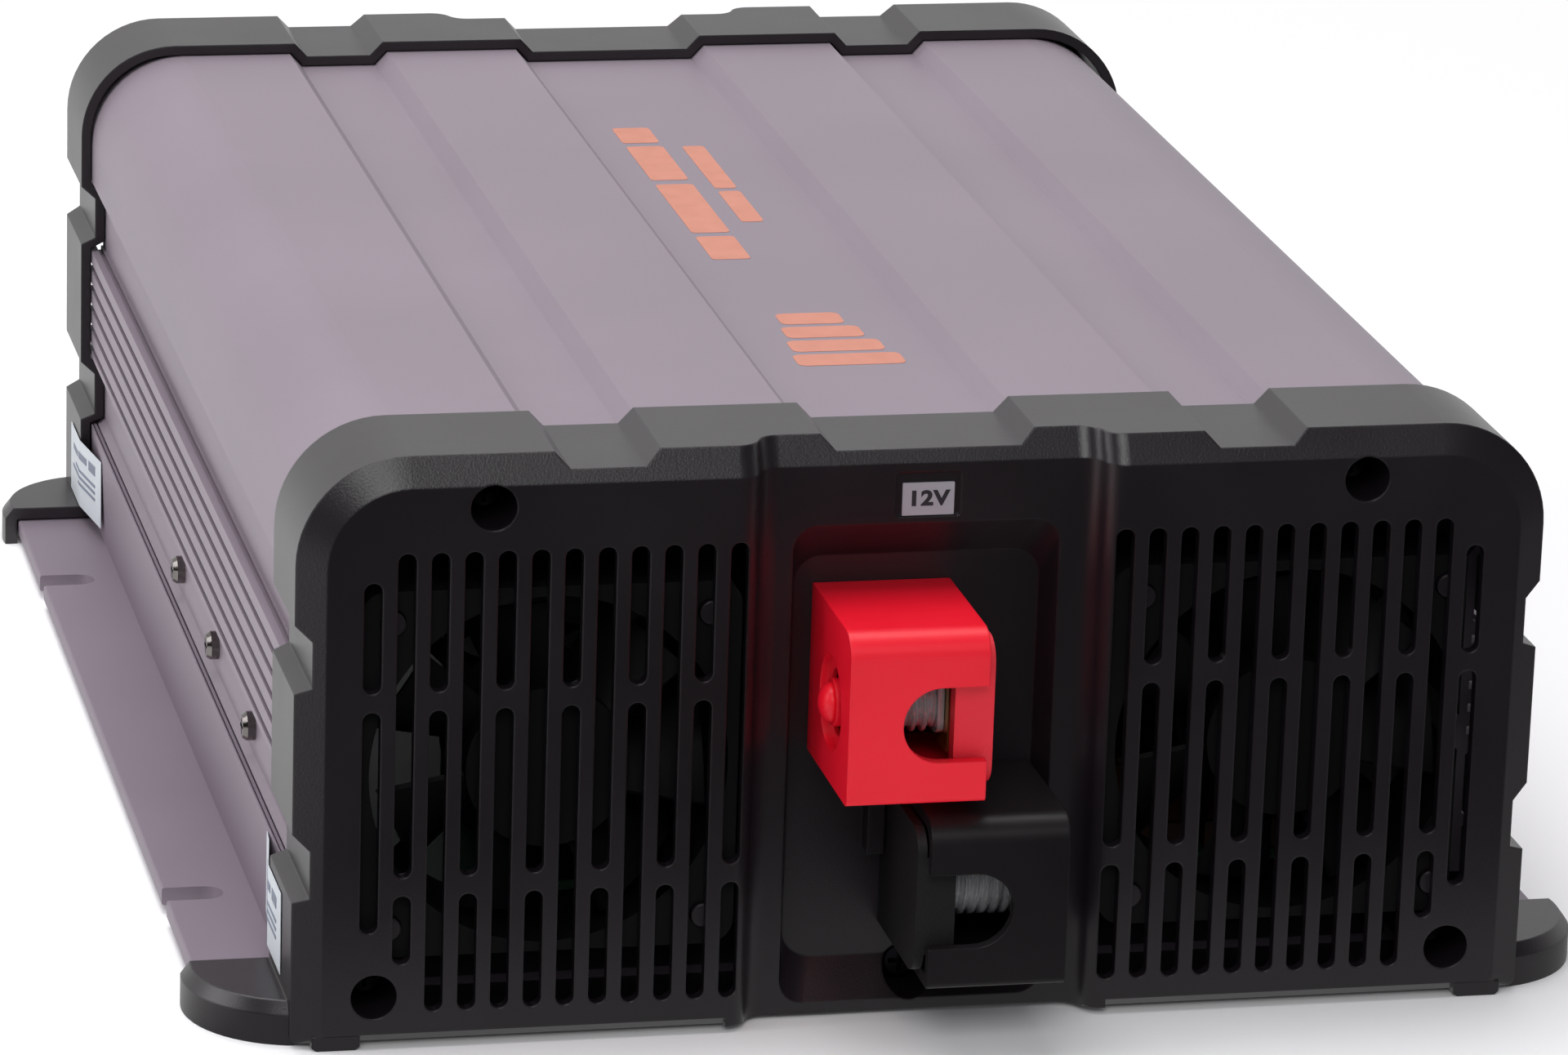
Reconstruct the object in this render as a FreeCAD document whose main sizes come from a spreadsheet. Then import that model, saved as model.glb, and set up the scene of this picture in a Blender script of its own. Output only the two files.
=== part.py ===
import FreeCAD, Part
import math
import os
import re

import Sketcher
from FreeCAD import Placement, Rotation, Vector

# Power inverter: a ridged aluminium extrusion on a flanged aluminium tray, closed by two
# moulded end caps. Depth is measured from the front cap's face, width from the mid-plane
# and height from the surface it stands on. All lengths are in millimetres.

SIZES = [
    ("CapSpan", 293.0, "face of the front cap to face of the rear cap"),
    ("CapDepth", 24.6, "depth of each end cap"),
    ("CapLap", 4.0, "length of body that each cap's collar covers"),
    ("CollarHalf", 100.0, "half width of the collars"),
    ("CapTop", 96.2, "height of the collar ridges"),
    ("CapBottom", 0.8, "height of the caps' lower edge"),
    ("CornerRadius", 17.2, "outer radius of the upper corners"),
    ("CollarWall", 1.8, "wall of the collars"),
    ("FaceWall", 2.2, "wall of the cap faces"),
    ("BevelDepth", 2.4, "depth of the bevel round each face"),
    ("BevelWidth", 4.6, "width of the bevel round each face"),
    ("RidgeDepth", 2.5, "depth of the valleys between the ridges"),
    ("NotchDepth", 2.6, "depth of the side channels"),
    ("Fit", 0.2, "gap between a collar and the body inside it"),
    ("ValleyOuter", 60.0, "outer edge of the side valleys"),
    ("ValleyInner", 43.5, "inner edge of the side valleys"),
    ("CentreValley", 17.1, "half width of the centre valley"),
    ("ValleySlope", 2.3, "width of each valley's sloping side"),
    ("UpperNotchLow", 58.3, "lower edge of the upper side channel"),
    ("UpperNotchHigh", 69.4, "upper edge of the upper side channel"),
    ("LowerNotchLow", 24.2, "lower edge of the lower side channel"),
    ("LowerNotchHigh", 35.4, "upper edge of the lower side channel"),
    ("RecessInner", 24.0, "half width of the sunk centre panel"),
    ("RecessOuter", 31.0, "half width out to the proud side panels"),
    ("RecessDepth", 5.0, "how far the centre panel is sunk"),
    ("PocketHalf", 21.4, "half width of the terminal pocket's mouth"),
    ("PocketLow", 2.6, "lower edge of the pocket's mouth"),
    ("PocketDrop", 14.3, "upper edge of the pocket's mouth below the collar's top"),
    ("PocketDepth", 6.0, "depth of the pocket below the centre panel"),
    ("PocketSlope", 6.2, "height of the pocket's sloping end walls"),
    ("PocketDraft", 1.6, "draft of the pocket's side walls"),
    ("SlotWidth", 2.9, "width of the grille slots"),
    ("SlotColumns", 12, "grille columns on each side"),
    ("FirstSlotInset", 11.8, "outermost grille column from the collar's side"),
    ("SlotTopDrop", 15.0, "top of the grille below the collar's top"),
    ("SlotBottom", 6.1, "bottom of the grille"),
    ("SlotBridge", 3.0, "web between two slots of one column"),
    ("HighBridge", 57.2, "height of the web in odd columns"),
    ("LowBridge", 26.9, "height of the web in even columns"),
    ("CapScrewBore", 7.3, "diameter of the cap screws' sunk bores"),
    ("CapScrewHole", 4.3, "clearance hole of the cap screws"),
    ("CapBossRadius", 5.1, "outer radius of the cap screw bosses"),
    ("CapScrewSeat", 12.0, "depth of the cap screws' seat below the face"),
    ("MidScrewSeat", 15.5, "depth of the middle cap screw's seat"),
    ("TopScrewInset", 30.3, "upper cap screws from the collar's side"),
    ("TopScrewDrop", 8.1, "upper cap screws below the collar's top"),
    ("LowScrewInset", 12.8, "lower cap screws from the collar's side"),
    ("LowScrewZ", 8.85, "height of the lower cap screws"),
    ("MidScrewZ", 6.0, "height of the middle cap screw"),
    ("EarReach", 14.2, "how far the ears stand out beyond the collar"),
    ("EarHeight", 7.0, "height of the ears"),
    ("EarFront", 3.8, "depth at which the ears start"),
    ("EarChamfer", 1.5, "chamfer along the top of the ears"),
    ("TrayBottom", 1.5, "underside of the tray"),
    ("TrayFloor", 2.4, "thickness of the tray floor"),
    ("FlangeThick", 3.0, "thickness of the mounting flanges"),
    ("FlangeReach", 11.7, "how far the mounting flanges stand out beyond the collar"),
    ("TrayWall", 2.0, "wall of the tray's sides"),
    ("TrayRim", 23.1, "height of the tray's rim"),
    ("SlotSpan", 169.0, "distance between the two flange slots of a side"),
    ("FlangeSlotWidth", 6.1, "width of the flange slots"),
    ("FlangeSlotReach", 2.0, "inner end of the flange slots beyond the collar"),
    ("ShellWall", 2.3, "wall of the top shell"),
    ("FinGroove", 1.4, "height of the grooves between the fins"),
    ("FinPitch", 3.9, "pitch of the fins"),
    ("FinDepth", 2.7, "depth of the grooves between the fins"),
    ("FinCount", 5, "grooves on each side"),
    ("FirstFin", 37.6, "height of the lowest groove"),
    ("FinTop", 57.0, "top face of the highest fin"),
    ("SideScrewZ", 28.9, "height of the side screws"),
    ("SideScrewFirst", 74.0, "first side screw from the front face"),
    ("SideScrewPitch", 42.5, "pitch of the side screws"),
    ("CoverWidth", 22.1, "width of a terminal cover"),
    ("CoverHeight", 27.6, "height of a terminal cover"),
    ("TerminalReach", 17.4, "how far the terminal covers stand out of the face"),
    ("CoverWall", 2.0, "wall of a terminal cover"),
    ("CoverRound", 4.3, "radius along a cover's upper front edge"),
    ("CoverMid", 1.3, "half-way plane between the two covers"),
    ("PositiveBase", 43.2, "underside of the positive cover"),
    ("NegativeBase", 12.4, "underside of the negative cover"),
    ("CableRadius", 6.1, "radius of the cable entries"),
    ("CableHeight", 12.8, "cable entry's centre above a cover's underside"),
    ("CableOffset", 3.3, "cable entry's centre from the mid-plane of the covers"),
    ("ClampDepth", 4.2, "clamp screw's axis in front of the face"),
    ("ClampRadius", 5.0, "radius of the clamp screws"),
    ("ClampLength", 12.5, "length of the clamp screws' thread"),
    ("FanSize", 60.0, "square outline of the fans"),
    ("FanDepth", 20.0, "depth of the fans"),
    ("FanGap", 0.3, "gap between the front wall and the fan frames"),
    ("FanInset", 40.3, "fan centres from the collar's side"),
    ("FanZ", 44.4, "height of the fan centres"),
    ("FanBore", 28.4, "radius of the fan ducts"),
    ("FanHoles", 25.0, "fan screws from the fan's centre lines"),
    ("FanPost", 1.9, "radius of the posts that the fans sit on"),
    ("HubRadius", 13.0, "radius of the fan hubs"),
    ("BladeTip", 25.6, "radial plane that the fan blades end at"),
    ("BladeCount", 7, "blades of each fan"),
    ("ShaftRadius", 1.5, "radius of the fan shafts"),
    ("RunningGap", 0.05, "radial clearance of shafts and pins"),
    ("BoardBottom", 12.0, "underside of the main board"),
    ("BoardThick", 1.6, "thickness of the boards"),
    ("BoardInset", 19.0, "edge of the main board from the collar's side"),
    ("BoardFront", 36.0, "front edge of the main board from the face"),
    ("BoardBack", 39.0, "rear edge of the main board from the rear face"),
    ("SinkThick", 6.0, "thickness of the heat sink bars"),
    ("SinkHeight", 44.0, "height of the heat sink bars"),
    ("SinkFront", 52.0, "front end of the heat sink bars"),
    ("SinkBack", 105.0, "rear end of the heat sink bars from the rear face"),
    ("StudReach", 11.0, "how far the earth stud stands out of the rear face"),
    ("StudRadius", 2.5, "radius of the earth stud"),
    ("OutletInset", 40.0, "socket centres from the collar's side"),
    ("UpperOutletZ", 66.0, "height of the upper socket"),
    ("LowerOutletZ", 28.0, "height of the lower socket"),
    ("SwitchZ", 56.0, "height of the rocker switch"),
    ("RockerTilt", 12.0, "tilt of the rocker to either side, degrees"),
]

doc = FreeCAD.newDocument("power_inverter")
sheet = doc.addObject("Spreadsheet::Sheet", "Sizes")
for row, (name, value, meaning) in enumerate(SIZES, start=1):
    sheet.set(f"A{row}", meaning)
    sheet.set(f"B{row}", str(value))
    sheet.setAlias(f"B{row}", name)
doc.recompute()

parts = []


def size(name):
    """Value of one cell of the sheet."""
    return float(sheet.get(name))


def formula(text):
    """Sheet expression in which every capitalised word is a cell of the sheet."""
    return re.sub(r"\b([A-Z]\w+)", r"Sizes.\1", text)


# Planes shared by several pieces.
FRONT_FACE = "(TerminalReach - StudReach - CapSpan) / 2"
front_y = (size("TerminalReach") - size("StudReach") - size("CapSpan")) / 2
body_front = size("CapDepth") - size("CapLap")
BODY_FRONT = "CapDepth - CapLap"
BODY_BACK = "CapSpan - CapDepth + CapLap"
body_half = size("CollarHalf") - size("CollarWall") - size("Fit")
body_top = size("CapTop") - size("CollarWall") - size("Fit")
channel_x = body_half - size("NotchDepth")
shell_inner = channel_x - size("ShellWall")
tray_inner = body_half - 0.1 - size("TrayWall")
ear_half = size("CollarHalf") + size("EarReach")
flange_half = size("CollarHalf") + size("FlangeReach")
first_slot = size("CollarHalf") - size("FirstSlotInset")
slot_pitch = (first_slot - size("RecessOuter") + 0.15) / (size("SlotColumns") - 1)
slot_top = size("CapTop") - size("SlotTopDrop")
pocket_high = size("CapTop") - size("PocketDrop")
fan_x = size("CollarHalf") - size("FanInset")
fan_front = size("FaceWall") + size("FanGap")
outlet_x = size("CollarHalf") - size("OutletInset")
board_half = size("CollarHalf") - size("BoardInset")
board_end = size("CapSpan") - size("BoardBack")
sink_end = size("CapSpan") - size("SinkBack")
SLOT_PITCH = "(CollarHalf - FirstSlotInset - RecessOuter + 0.15) / (SlotColumns - 1)"
FAN_FRONT = "FaceWall + FanGap"
FAN_BACK = "FaceWall + FanGap + FanDepth"
floor_top = size("TrayBottom") + size("TrayFloor")
board_top = size("BoardBottom") + size("BoardThick")
panel_y = size("RecessDepth")
pocket_floor = panel_y + size("PocketDepth")
pocket_back = pocket_floor + size("FaceWall")
cover_front = -size("TerminalReach")
screw_y = -size("ClampDepth")


# ---------------------------------------------------------------- drawing helpers

def rounded(points):
    """Curves of a closed outline; a corner given as (x, y, radius) is rounded."""
    count = len(points)
    corners = []
    for index, corner in enumerate(points):
        here = Vector(corner[0], corner[1], 0)
        radius = corner[2] if len(corner) > 2 else 0.0
        if radius <= 0.0:
            corners.append((here, here, None))
            continue
        before = Vector(points[index - 1][0], points[index - 1][1], 0) - here
        after = Vector(points[(index + 1) % count][0], points[(index + 1) % count][1], 0) - here
        before.normalize()
        after.normalize()
        half = 0.5 * math.acos(max(-1.0, min(1.0, before.dot(after))))
        reach = radius / math.tan(half)
        inward = before + after
        inward.normalize()
        centre = here + inward * (radius / math.sin(half))
        middle = centre - inward * radius
        corners.append((here + before * reach, here + after * reach, middle))
    curves = []
    for index, (start, end, middle) in enumerate(corners):
        if middle is not None:
            curves.append(Part.Arc(start, middle, end))
        following = corners[(index + 1) % count][0]
        if end.distanceToPoint(following) > 1e-6:
            curves.append(Part.LineSegment(end, following))
    return curves


def flipped(points):
    """The same outline on the other side of the mid-plane."""
    return [(-point[0],) + tuple(point[1:]) for point in points]


def both(points):
    """An outline and its mirror image."""
    return [points, flipped(points)]


def rectangle(x0, y0, x1, y1, radius=0.0):
    return [(x0, y0, radius), (x1, y0, radius), (x1, y1, radius), (x0, y1, radius)]


def slot(x, low, high, width):
    """Vertical slot with round ends."""
    half = width / 2
    return [
        Part.Arc(Vector(x - half, high - half, 0), Vector(x, high, 0), Vector(x + half, high - half, 0)),
        Part.LineSegment(Vector(x + half, high - half, 0), Vector(x + half, low + half, 0)),
        Part.Arc(Vector(x + half, low + half, 0), Vector(x, low, 0), Vector(x - half, low + half, 0)),
        Part.LineSegment(Vector(x - half, low + half, 0), Vector(x - half, high - half, 0)),
    ]


def circle(x, y, radius):
    return [Part.Circle(Vector(x, y, 0), Vector(0, 0, 1), radius)]


def new_body(label, depth_from_face=True):
    """Body of one piece, its depths measured from the front cap's face."""
    body = doc.addObject("PartDesign::Body", label)
    body.Label = label
    if depth_from_face:
        body.setExpression(".Placement.Base.y", formula(FRONT_FACE))
    parts.append(body)
    return body


def draw(body, name, plane, level, outlines):
    """Sketch on one of the body's own planes, level away from the origin along its axis."""
    sketch = body.newObject("Sketcher::SketchObject", name)
    origin = next(item for item in body.Origin.OriginFeatures if item.Role == plane + "_Plane")
    sketch.AttachmentSupport = [(origin, "")]
    sketch.MapMode = "FlatFace"
    sign = "-1" if plane == "XZ" else "1"
    sketch.setExpression(".AttachmentOffset.Base.z", formula(f"{sign} * ({level})"))
    for outline in outlines:
        curves = rounded(outline) if isinstance(outline[0], tuple) else outline
        for curve in curves:
            sketch.addGeometry(curve, False)
    return sketch


def extrude(body, kind, name, plane, start, end, outlines):
    """Pad or pocket from one level to another along the plane's own axis."""
    sketch = draw(body, name + "_sketch", plane, start, outlines)
    feature = body.newObject("PartDesign::" + kind, name)
    feature.Profile = sketch
    feature.setExpression("Length", formula(f"({end}) - ({start})"))
    towards_plus = plane != "XZ"
    feature.Reversed = towards_plus if kind == "Pocket" else not towards_plus
    sketch.Visibility = False
    return feature


def pad(body, name, plane, start, end, outlines):
    return extrude(body, "Pad", name, plane, start, end, outlines)


def pocket(body, name, plane, start, end, outlines):
    return extrude(body, "Pocket", name, plane, start, end, outlines)


def loft(body, kind, name, plane, sections):
    """Ruled loft through two or more (level, outline) sections."""
    sketches = []
    for index, (level, outline) in enumerate(sections):
        sketches.append(draw(body, f"{name}_section_{index}", plane, level, [outline]))
    feature = body.newObject("PartDesign::" + kind + "Loft", name)
    feature.Profile = sketches[0]
    feature.Sections = sketches[1:]
    feature.Ruled = True
    return feature


def axis_of(body, role):
    return next(item for item in body.Origin.OriginFeatures if item.Role == role + "_Axis")


def repeat(body, name, originals, role, offset, count):
    """Linear pattern of features along one of the body's axes."""
    pattern = body.newObject("PartDesign::LinearPattern", name)
    pattern.Originals = originals
    pattern.Direction = (axis_of(body, role), [""])
    pattern.Mode = "Spacing"
    pattern.setExpression("Offset", formula(offset))
    pattern.setExpression("Occurrences", formula(count))
    body.Tip = pattern
    return pattern


def turned(body, name, originals, role, count):
    """Polar pattern of features about one of the body's axes."""
    pattern = body.newObject("PartDesign::PolarPattern", name)
    pattern.Originals = originals
    pattern.Axis = (axis_of(body, role), [""])
    pattern.Angle = 360
    pattern.setExpression("Occurrences", formula(count))
    body.Tip = pattern
    return pattern


def group(label, shapes):
    """Node made of several separate solids of one kind."""
    feature = doc.addObject("Part::Feature", label)
    feature.Label = label
    feature.Shape = Part.makeCompound(shapes)
    feature.Placement = Placement(Vector(0, front_y, 0), Rotation())
    parts.append(feature)
    return feature


def block(x0, y0, z0, x1, y1, z1):
    return Part.makeBox(x1 - x0, y1 - y0, z1 - z0, Vector(x0, y0, z0))


def rod(radius, length, base, direction):
    return Part.makeCylinder(radius, length, Vector(*base), Vector(*direction))


def screw(head_radius, head_height, shank_radius, shank_length, base, direction):
    """Pan-head screw; base is the head's seat and direction points from the shank to the head."""
    outward = Vector(*direction)
    seat = Vector(*base)
    head = Part.makeCylinder(head_radius, head_height, seat, outward)
    middle = head_height / 2
    rim = [edge for edge in head.Edges if edge.Closed and edge.CenterOfMass.distanceToPoint(seat) > middle]
    head = head.makeChamfer(0.35 * head_height, rim)
    shank = Part.makeCylinder(shank_radius, shank_length, seat, outward * -1)
    across = 1.1 * head_radius
    wide = Part.makeBox(across, 0.22 * across, head_height, Vector(-across / 2, -0.11 * across, 0))
    tall = Part.makeBox(0.22 * across, across, head_height, Vector(-0.11 * across, -across / 2, 0))
    cross = wide.fuse(tall)
    cross.Placement = Placement(seat + outward * (0.45 * head_height), Rotation(Vector(0, 0, 1), outward))
    return head.fuse(shank).cut(cross)


# ---------------------------------------------------------------- end caps

def side_notches(inset):
    """Side channels of the collar wall, moved inwards by the wall that is left."""
    shift = 0.42 * inset
    edge = size("CollarHalf") - inset
    floor = edge - size("NotchDepth")
    return [
        [
            (edge, size("LowerNotchLow") - shift),
            (floor, size("LowerNotchLow") + 1.0 - shift),
            (floor, size("LowerNotchHigh") - 2.4 + shift),
            (edge, size("LowerNotchHigh") + shift),
        ],
        [
            (edge, size("UpperNotchLow") - shift),
            (floor, size("UpperNotchLow") + 1.3 - shift),
            (floor, size("UpperNotchHigh") - 2.3 + shift),
            (edge, size("UpperNotchHigh") + shift),
        ],
    ]


def valley_edges(inset):
    """Side valley as (outer, outer foot, inner foot, inner), then the centre valley's half."""
    shift = 0.42 * inset
    slope = size("ValleySlope")
    outer = size("ValleyOuter") + shift
    inner = size("ValleyInner") - shift
    centre = size("CentreValley") + shift
    return outer, outer - slope, inner + slope, inner, centre, centre - slope


def ridge_line(inset, top):
    """Top outline of the collar or the shell from right to left."""
    outer, outer_foot, inner_foot, inner, centre, centre_foot = valley_edges(inset)
    low = top - size("RidgeDepth")
    right = [
        (outer, top), (outer_foot, low), (inner_foot, low), (inner, top),
        (centre, top), (centre_foot, low),
    ]
    return right + flipped(right)[::-1]


def plain_outline(half, low, top, radius):
    return [(-half, low, 1.2), (half, low, 1.2), (half, top, radius), (-half, top, radius)]


def cavity_outline(low):
    """Inside of a cap: the collar's outline moved in by its wall."""
    inset = size("CollarWall")
    half = size("CollarHalf") - inset
    top = size("CapTop") - inset
    radius = size("CornerRadius") - inset
    lower, upper = side_notches(inset)
    right = [(half, low)] + lower + upper + [(half, top, radius)]
    return right + ridge_line(inset, top) + flipped(right)[::-1]


def sweep_back(level):
    """Plan line of a cap face: proud side panels, S-bends and the sunk centre panel."""
    inner, outer = size("RecessInner"), size("RecessOuter")
    depth = size("RecessDepth")
    run = outer - inner
    radius = (run * run + depth * depth) / (4 * depth)
    lean = math.asin(run / (2 * radius)) / 2
    near = Vector(outer, level, 0)
    middle = Vector((outer + inner) / 2, level + depth / 2, 0)
    far = Vector(inner, level + depth, 0)
    bend_out = Vector(outer - radius * math.sin(lean), level + radius * (1 - math.cos(lean)), 0)
    bend_in = Vector(inner + radius * math.sin(lean), level + depth - radius * (1 - math.cos(lean)), 0)
    mirror = [Vector(-p.x, p.y, 0) for p in (near, bend_out, middle, bend_in, far)]
    return [
        Part.Arc(mirror[0], mirror[1], mirror[2]),
        Part.Arc(mirror[2], mirror[3], mirror[4]),
        Part.LineSegment(mirror[4], far),
        Part.Arc(far, bend_in, middle),
        Part.Arc(middle, bend_out, near),
    ]


def recess_plan(shift):
    """Plan of the air in front of the sunk panel, moved back by shift."""
    outer = size("RecessOuter")
    ahead = Vector(outer, -1, 0)
    ahead_left = Vector(-outer, -1, 0)
    return sweep_back(shift) + [
        Part.LineSegment(Vector(outer, shift, 0), ahead),
        Part.LineSegment(ahead, ahead_left),
        Part.LineSegment(ahead_left, Vector(-outer, shift, 0)),
    ]


def panel_plan():
    """Plan of the centre panel's wall, which keeps the face's thickness through the bends."""
    wall = size("FaceWall")
    outer = size("RecessOuter")
    return sweep_back(0.0) + sweep_back(wall) + [
        Part.LineSegment(Vector(outer, 0, 0), Vector(outer, wall, 0)),
        Part.LineSegment(Vector(-outer, 0, 0), Vector(-outer, wall, 0)),
    ]


def ear_plan(side, inset):
    """Plan of one ear: a bow from the collar's front out to the cap's rear edge."""
    half, back = size("CollarHalf"), size("CapDepth")
    run = back - size("EarFront") - inset
    root = Vector(side * (half - size("CollarWall") / 2), back - run, 0)
    start = Vector(side * half, back - run, 0)
    share = math.sqrt(0.5)
    middle = Vector(side * (half + share * (size("EarReach") - inset)), back - share * run, 0)
    end = Vector(side * (ear_half - inset), back, 0)
    corner = Vector(root.x, back, 0)
    return [
        Part.LineSegment(root, start),
        Part.Arc(start, middle, end),
        Part.LineSegment(end, corner),
        Part.LineSegment(corner, root),
    ]


def screw_places():
    """Cap screws as (x, z, depth of the seat), in the order upper pair, lower pair, middle."""
    top_x = size("CollarHalf") - size("TopScrewInset")
    low_x = size("CollarHalf") - size("LowScrewInset")
    top_z, low_z = size("CapTop") - size("TopScrewDrop"), size("LowScrewZ")
    pairs = [(-top_x, top_z), (top_x, top_z), (-low_x, low_z), (low_x, low_z)]
    seat = size("CapScrewSeat")
    return [(x, z, seat) for x, z in pairs] + [(0.0, size("MidScrewZ"), size("MidScrewSeat"))]


def column_slots(column):
    """Two slots of one grille column, counted from the outside."""
    x = first_slot - (column - 1) * slot_pitch
    gap = size("SlotBridge") / 2
    low, high = size("SlotBottom"), slot_top
    bridge = size("HighBridge") if column % 2 else size("LowBridge")
    if column == 1:
        low, high = low + 13.3, high - 4.6
    if column == 2:
        low = low + 8.0
    width = size("SlotWidth")
    return [slot(x, low, bridge - gap, width), slot(x, bridge + gap, high, width)]


def fan_places():
    """Posts and screws of the fans as (x, z)."""
    reach = size("FanHoles")
    places = []
    for x in (-fan_x, fan_x):
        for dx in (-reach, reach):
            places += [(x + dx, size("FanZ") - reach), (x + dx, size("FanZ") + reach)]
    return places


def mirrored_slots(slots):
    mirror = FreeCAD.Matrix()
    mirror.A11 = -1
    copies = []
    for curves in slots:
        copies.append([curve.copy() for curve in curves])
        for curve in copies[-1]:
            curve.transform(mirror)
    return copies


def grille(body, name, sides):
    """Columns of slots: two short outer ones, then odd and even columns as patterns."""
    through = "FaceWall + 1.0"
    pairs = "(SlotColumns - 2) / 2"
    for side in sides:
        tag = name + ("_right" if side > 0 else "_left")
        shown = (lambda slots: slots) if side > 0 else mirrored_slots
        outer = column_slots(1) + column_slots(2)
        pocket(body, tag + "_outer", "XZ", "-1", through, shown(outer))
        inner = column_slots(3) + column_slots(4)
        seed = pocket(body, tag + "_inner", "XZ", "-1", through, shown(inner))
        pattern = repeat(body, tag + "_columns", [seed], "X", "2 * " + SLOT_PITCH, pairs)
        pattern.Reversed = side > 0


def end_cap(label):
    """Moulding shared by both caps, with its face at depth 0 and its collar behind it."""
    body = new_body(label, depth_from_face=False)
    half, top = size("CollarHalf"), size("CapTop")
    low, radius = size("CapBottom"), size("CornerRadius")
    width = size("BevelWidth")
    wall = size("CollarWall")
    pad(body, "collar", "XZ", "BevelDepth", "CapDepth", [plain_outline(half, low, top, radius)])
    loft(body, "Additive", "bevel", "XZ", [
        ("BevelDepth", plain_outline(half, low, top, radius)),
        ("0", plain_outline(half - width, low + 0.4 * width, top - width, radius - 0.9 * width)),
    ])
    pocket(body, "cavity", "XZ", "FaceWall", BODY_FRONT + " - Fit", [cavity_outline(low + wall)])
    pocket(body, "mouth", "XZ", BODY_FRONT + " - Fit", "CapDepth", [cavity_outline(low - 1)])
    pad(body, "centre_wall", "XY", "CapBottom + 0.4", "CapTop - CollarWall / 2", [panel_plan()])
    bosses = [circle(x, z, size("CapBossRadius")) for x, z, seat in screw_places()]
    pad(body, "screw_bosses", "XZ", "FaceWall - 0.5", BODY_FRONT + " - Fit", bosses)
    return body


def finish_cap(body):
    """Cuts that run over the whole face, the ears and the runners that the cap stands on."""
    half, top, bottom = size("CollarHalf"), size("CapTop"), size("CapBottom")
    crease = "CapTop - BevelWidth"
    rise = size("BevelWidth") + 2.0
    slant = rise * size("BevelDepth") / size("BevelWidth")
    pocket(body, "sunk_centre", "XY", "-1", crease, [recess_plan(0.0)])
    loft(body, "Subtractive", "sunk_bevel", "XY", [
        (crease, recess_plan(0.0)),
        (crease + " + %s" % rise, recess_plan(slant)),
    ])
    outer, outer_foot, inner_foot, inner, centre, centre_foot = valley_edges(0.0)
    low = top - size("RidgeDepth")
    lift = 1.0
    high = top + lift
    valley = [(outer + lift, high), (outer_foot, low), (inner_foot, low), (inner - lift, high)]
    middle = [(centre + lift, high), (centre_foot, low), (-centre_foot, low), (-centre - lift, high)]
    pocket(body, "valleys", "XZ", "-1", "CapDepth", both(valley) + [middle])
    channels = []
    for notch in side_notches(0.0):
        (edge, z0), foot, head, (_, z1) = notch
        channels += both([(edge + lift, z0 - 0.4 * lift), foot, head, (edge + lift, z1 + lift)])
    pocket(body, "side_channels", "XZ", "-1", "CapDepth", channels)
    bores = [circle(x, z, size("CapScrewBore") / 2) for x, z, seat in screw_places()]
    holes = [circle(x, z, size("CapScrewHole") / 2) for x, z, seat in screw_places()]
    pocket(body, "screw_bores", "XZ", "-1", "CapScrewSeat", bores[:4])
    pocket(body, "middle_bore", "XZ", "-1", "MidScrewSeat", bores[4:])
    pocket(body, "screw_holes", "XZ", "-1", "CapDepth", holes)
    for side, tag in ((1, "right"), (-1, "left")):
        low_plan, high_plan = ear_plan(side, 0.0), ear_plan(side, size("EarChamfer"))
        pad(body, "ear_" + tag, "XY", "0", "EarHeight - 2", [low_plan])
        sections = [("EarHeight - 2", low_plan), ("EarHeight", high_plan)]
        loft(body, "Additive", "ear_top_" + tag, "XY", sections)
    inner_edge = half - size("CollarWall")
    lap = rectangle(inner_edge, body_front - size("Fit"), flange_half + 0.3, size("CapDepth") + 1)
    pocket(body, "flange_lap", "XY", "-1", "TrayBottom + FlangeThick + 0.25", both(lap))
    outer, inner = half - 3.2, half - 10.8
    lobe = [
        (inner, bottom + 1.6), (inner, 0.6), (inner + 0.7, 0.0),
        (outer - 0.7, 0.0), (outer, 0.6), (outer, bottom + 1.6),
    ]
    pad(body, "runners", "XZ", "0.5", BODY_FRONT + " - Fit", both(lobe))
    return body


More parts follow.
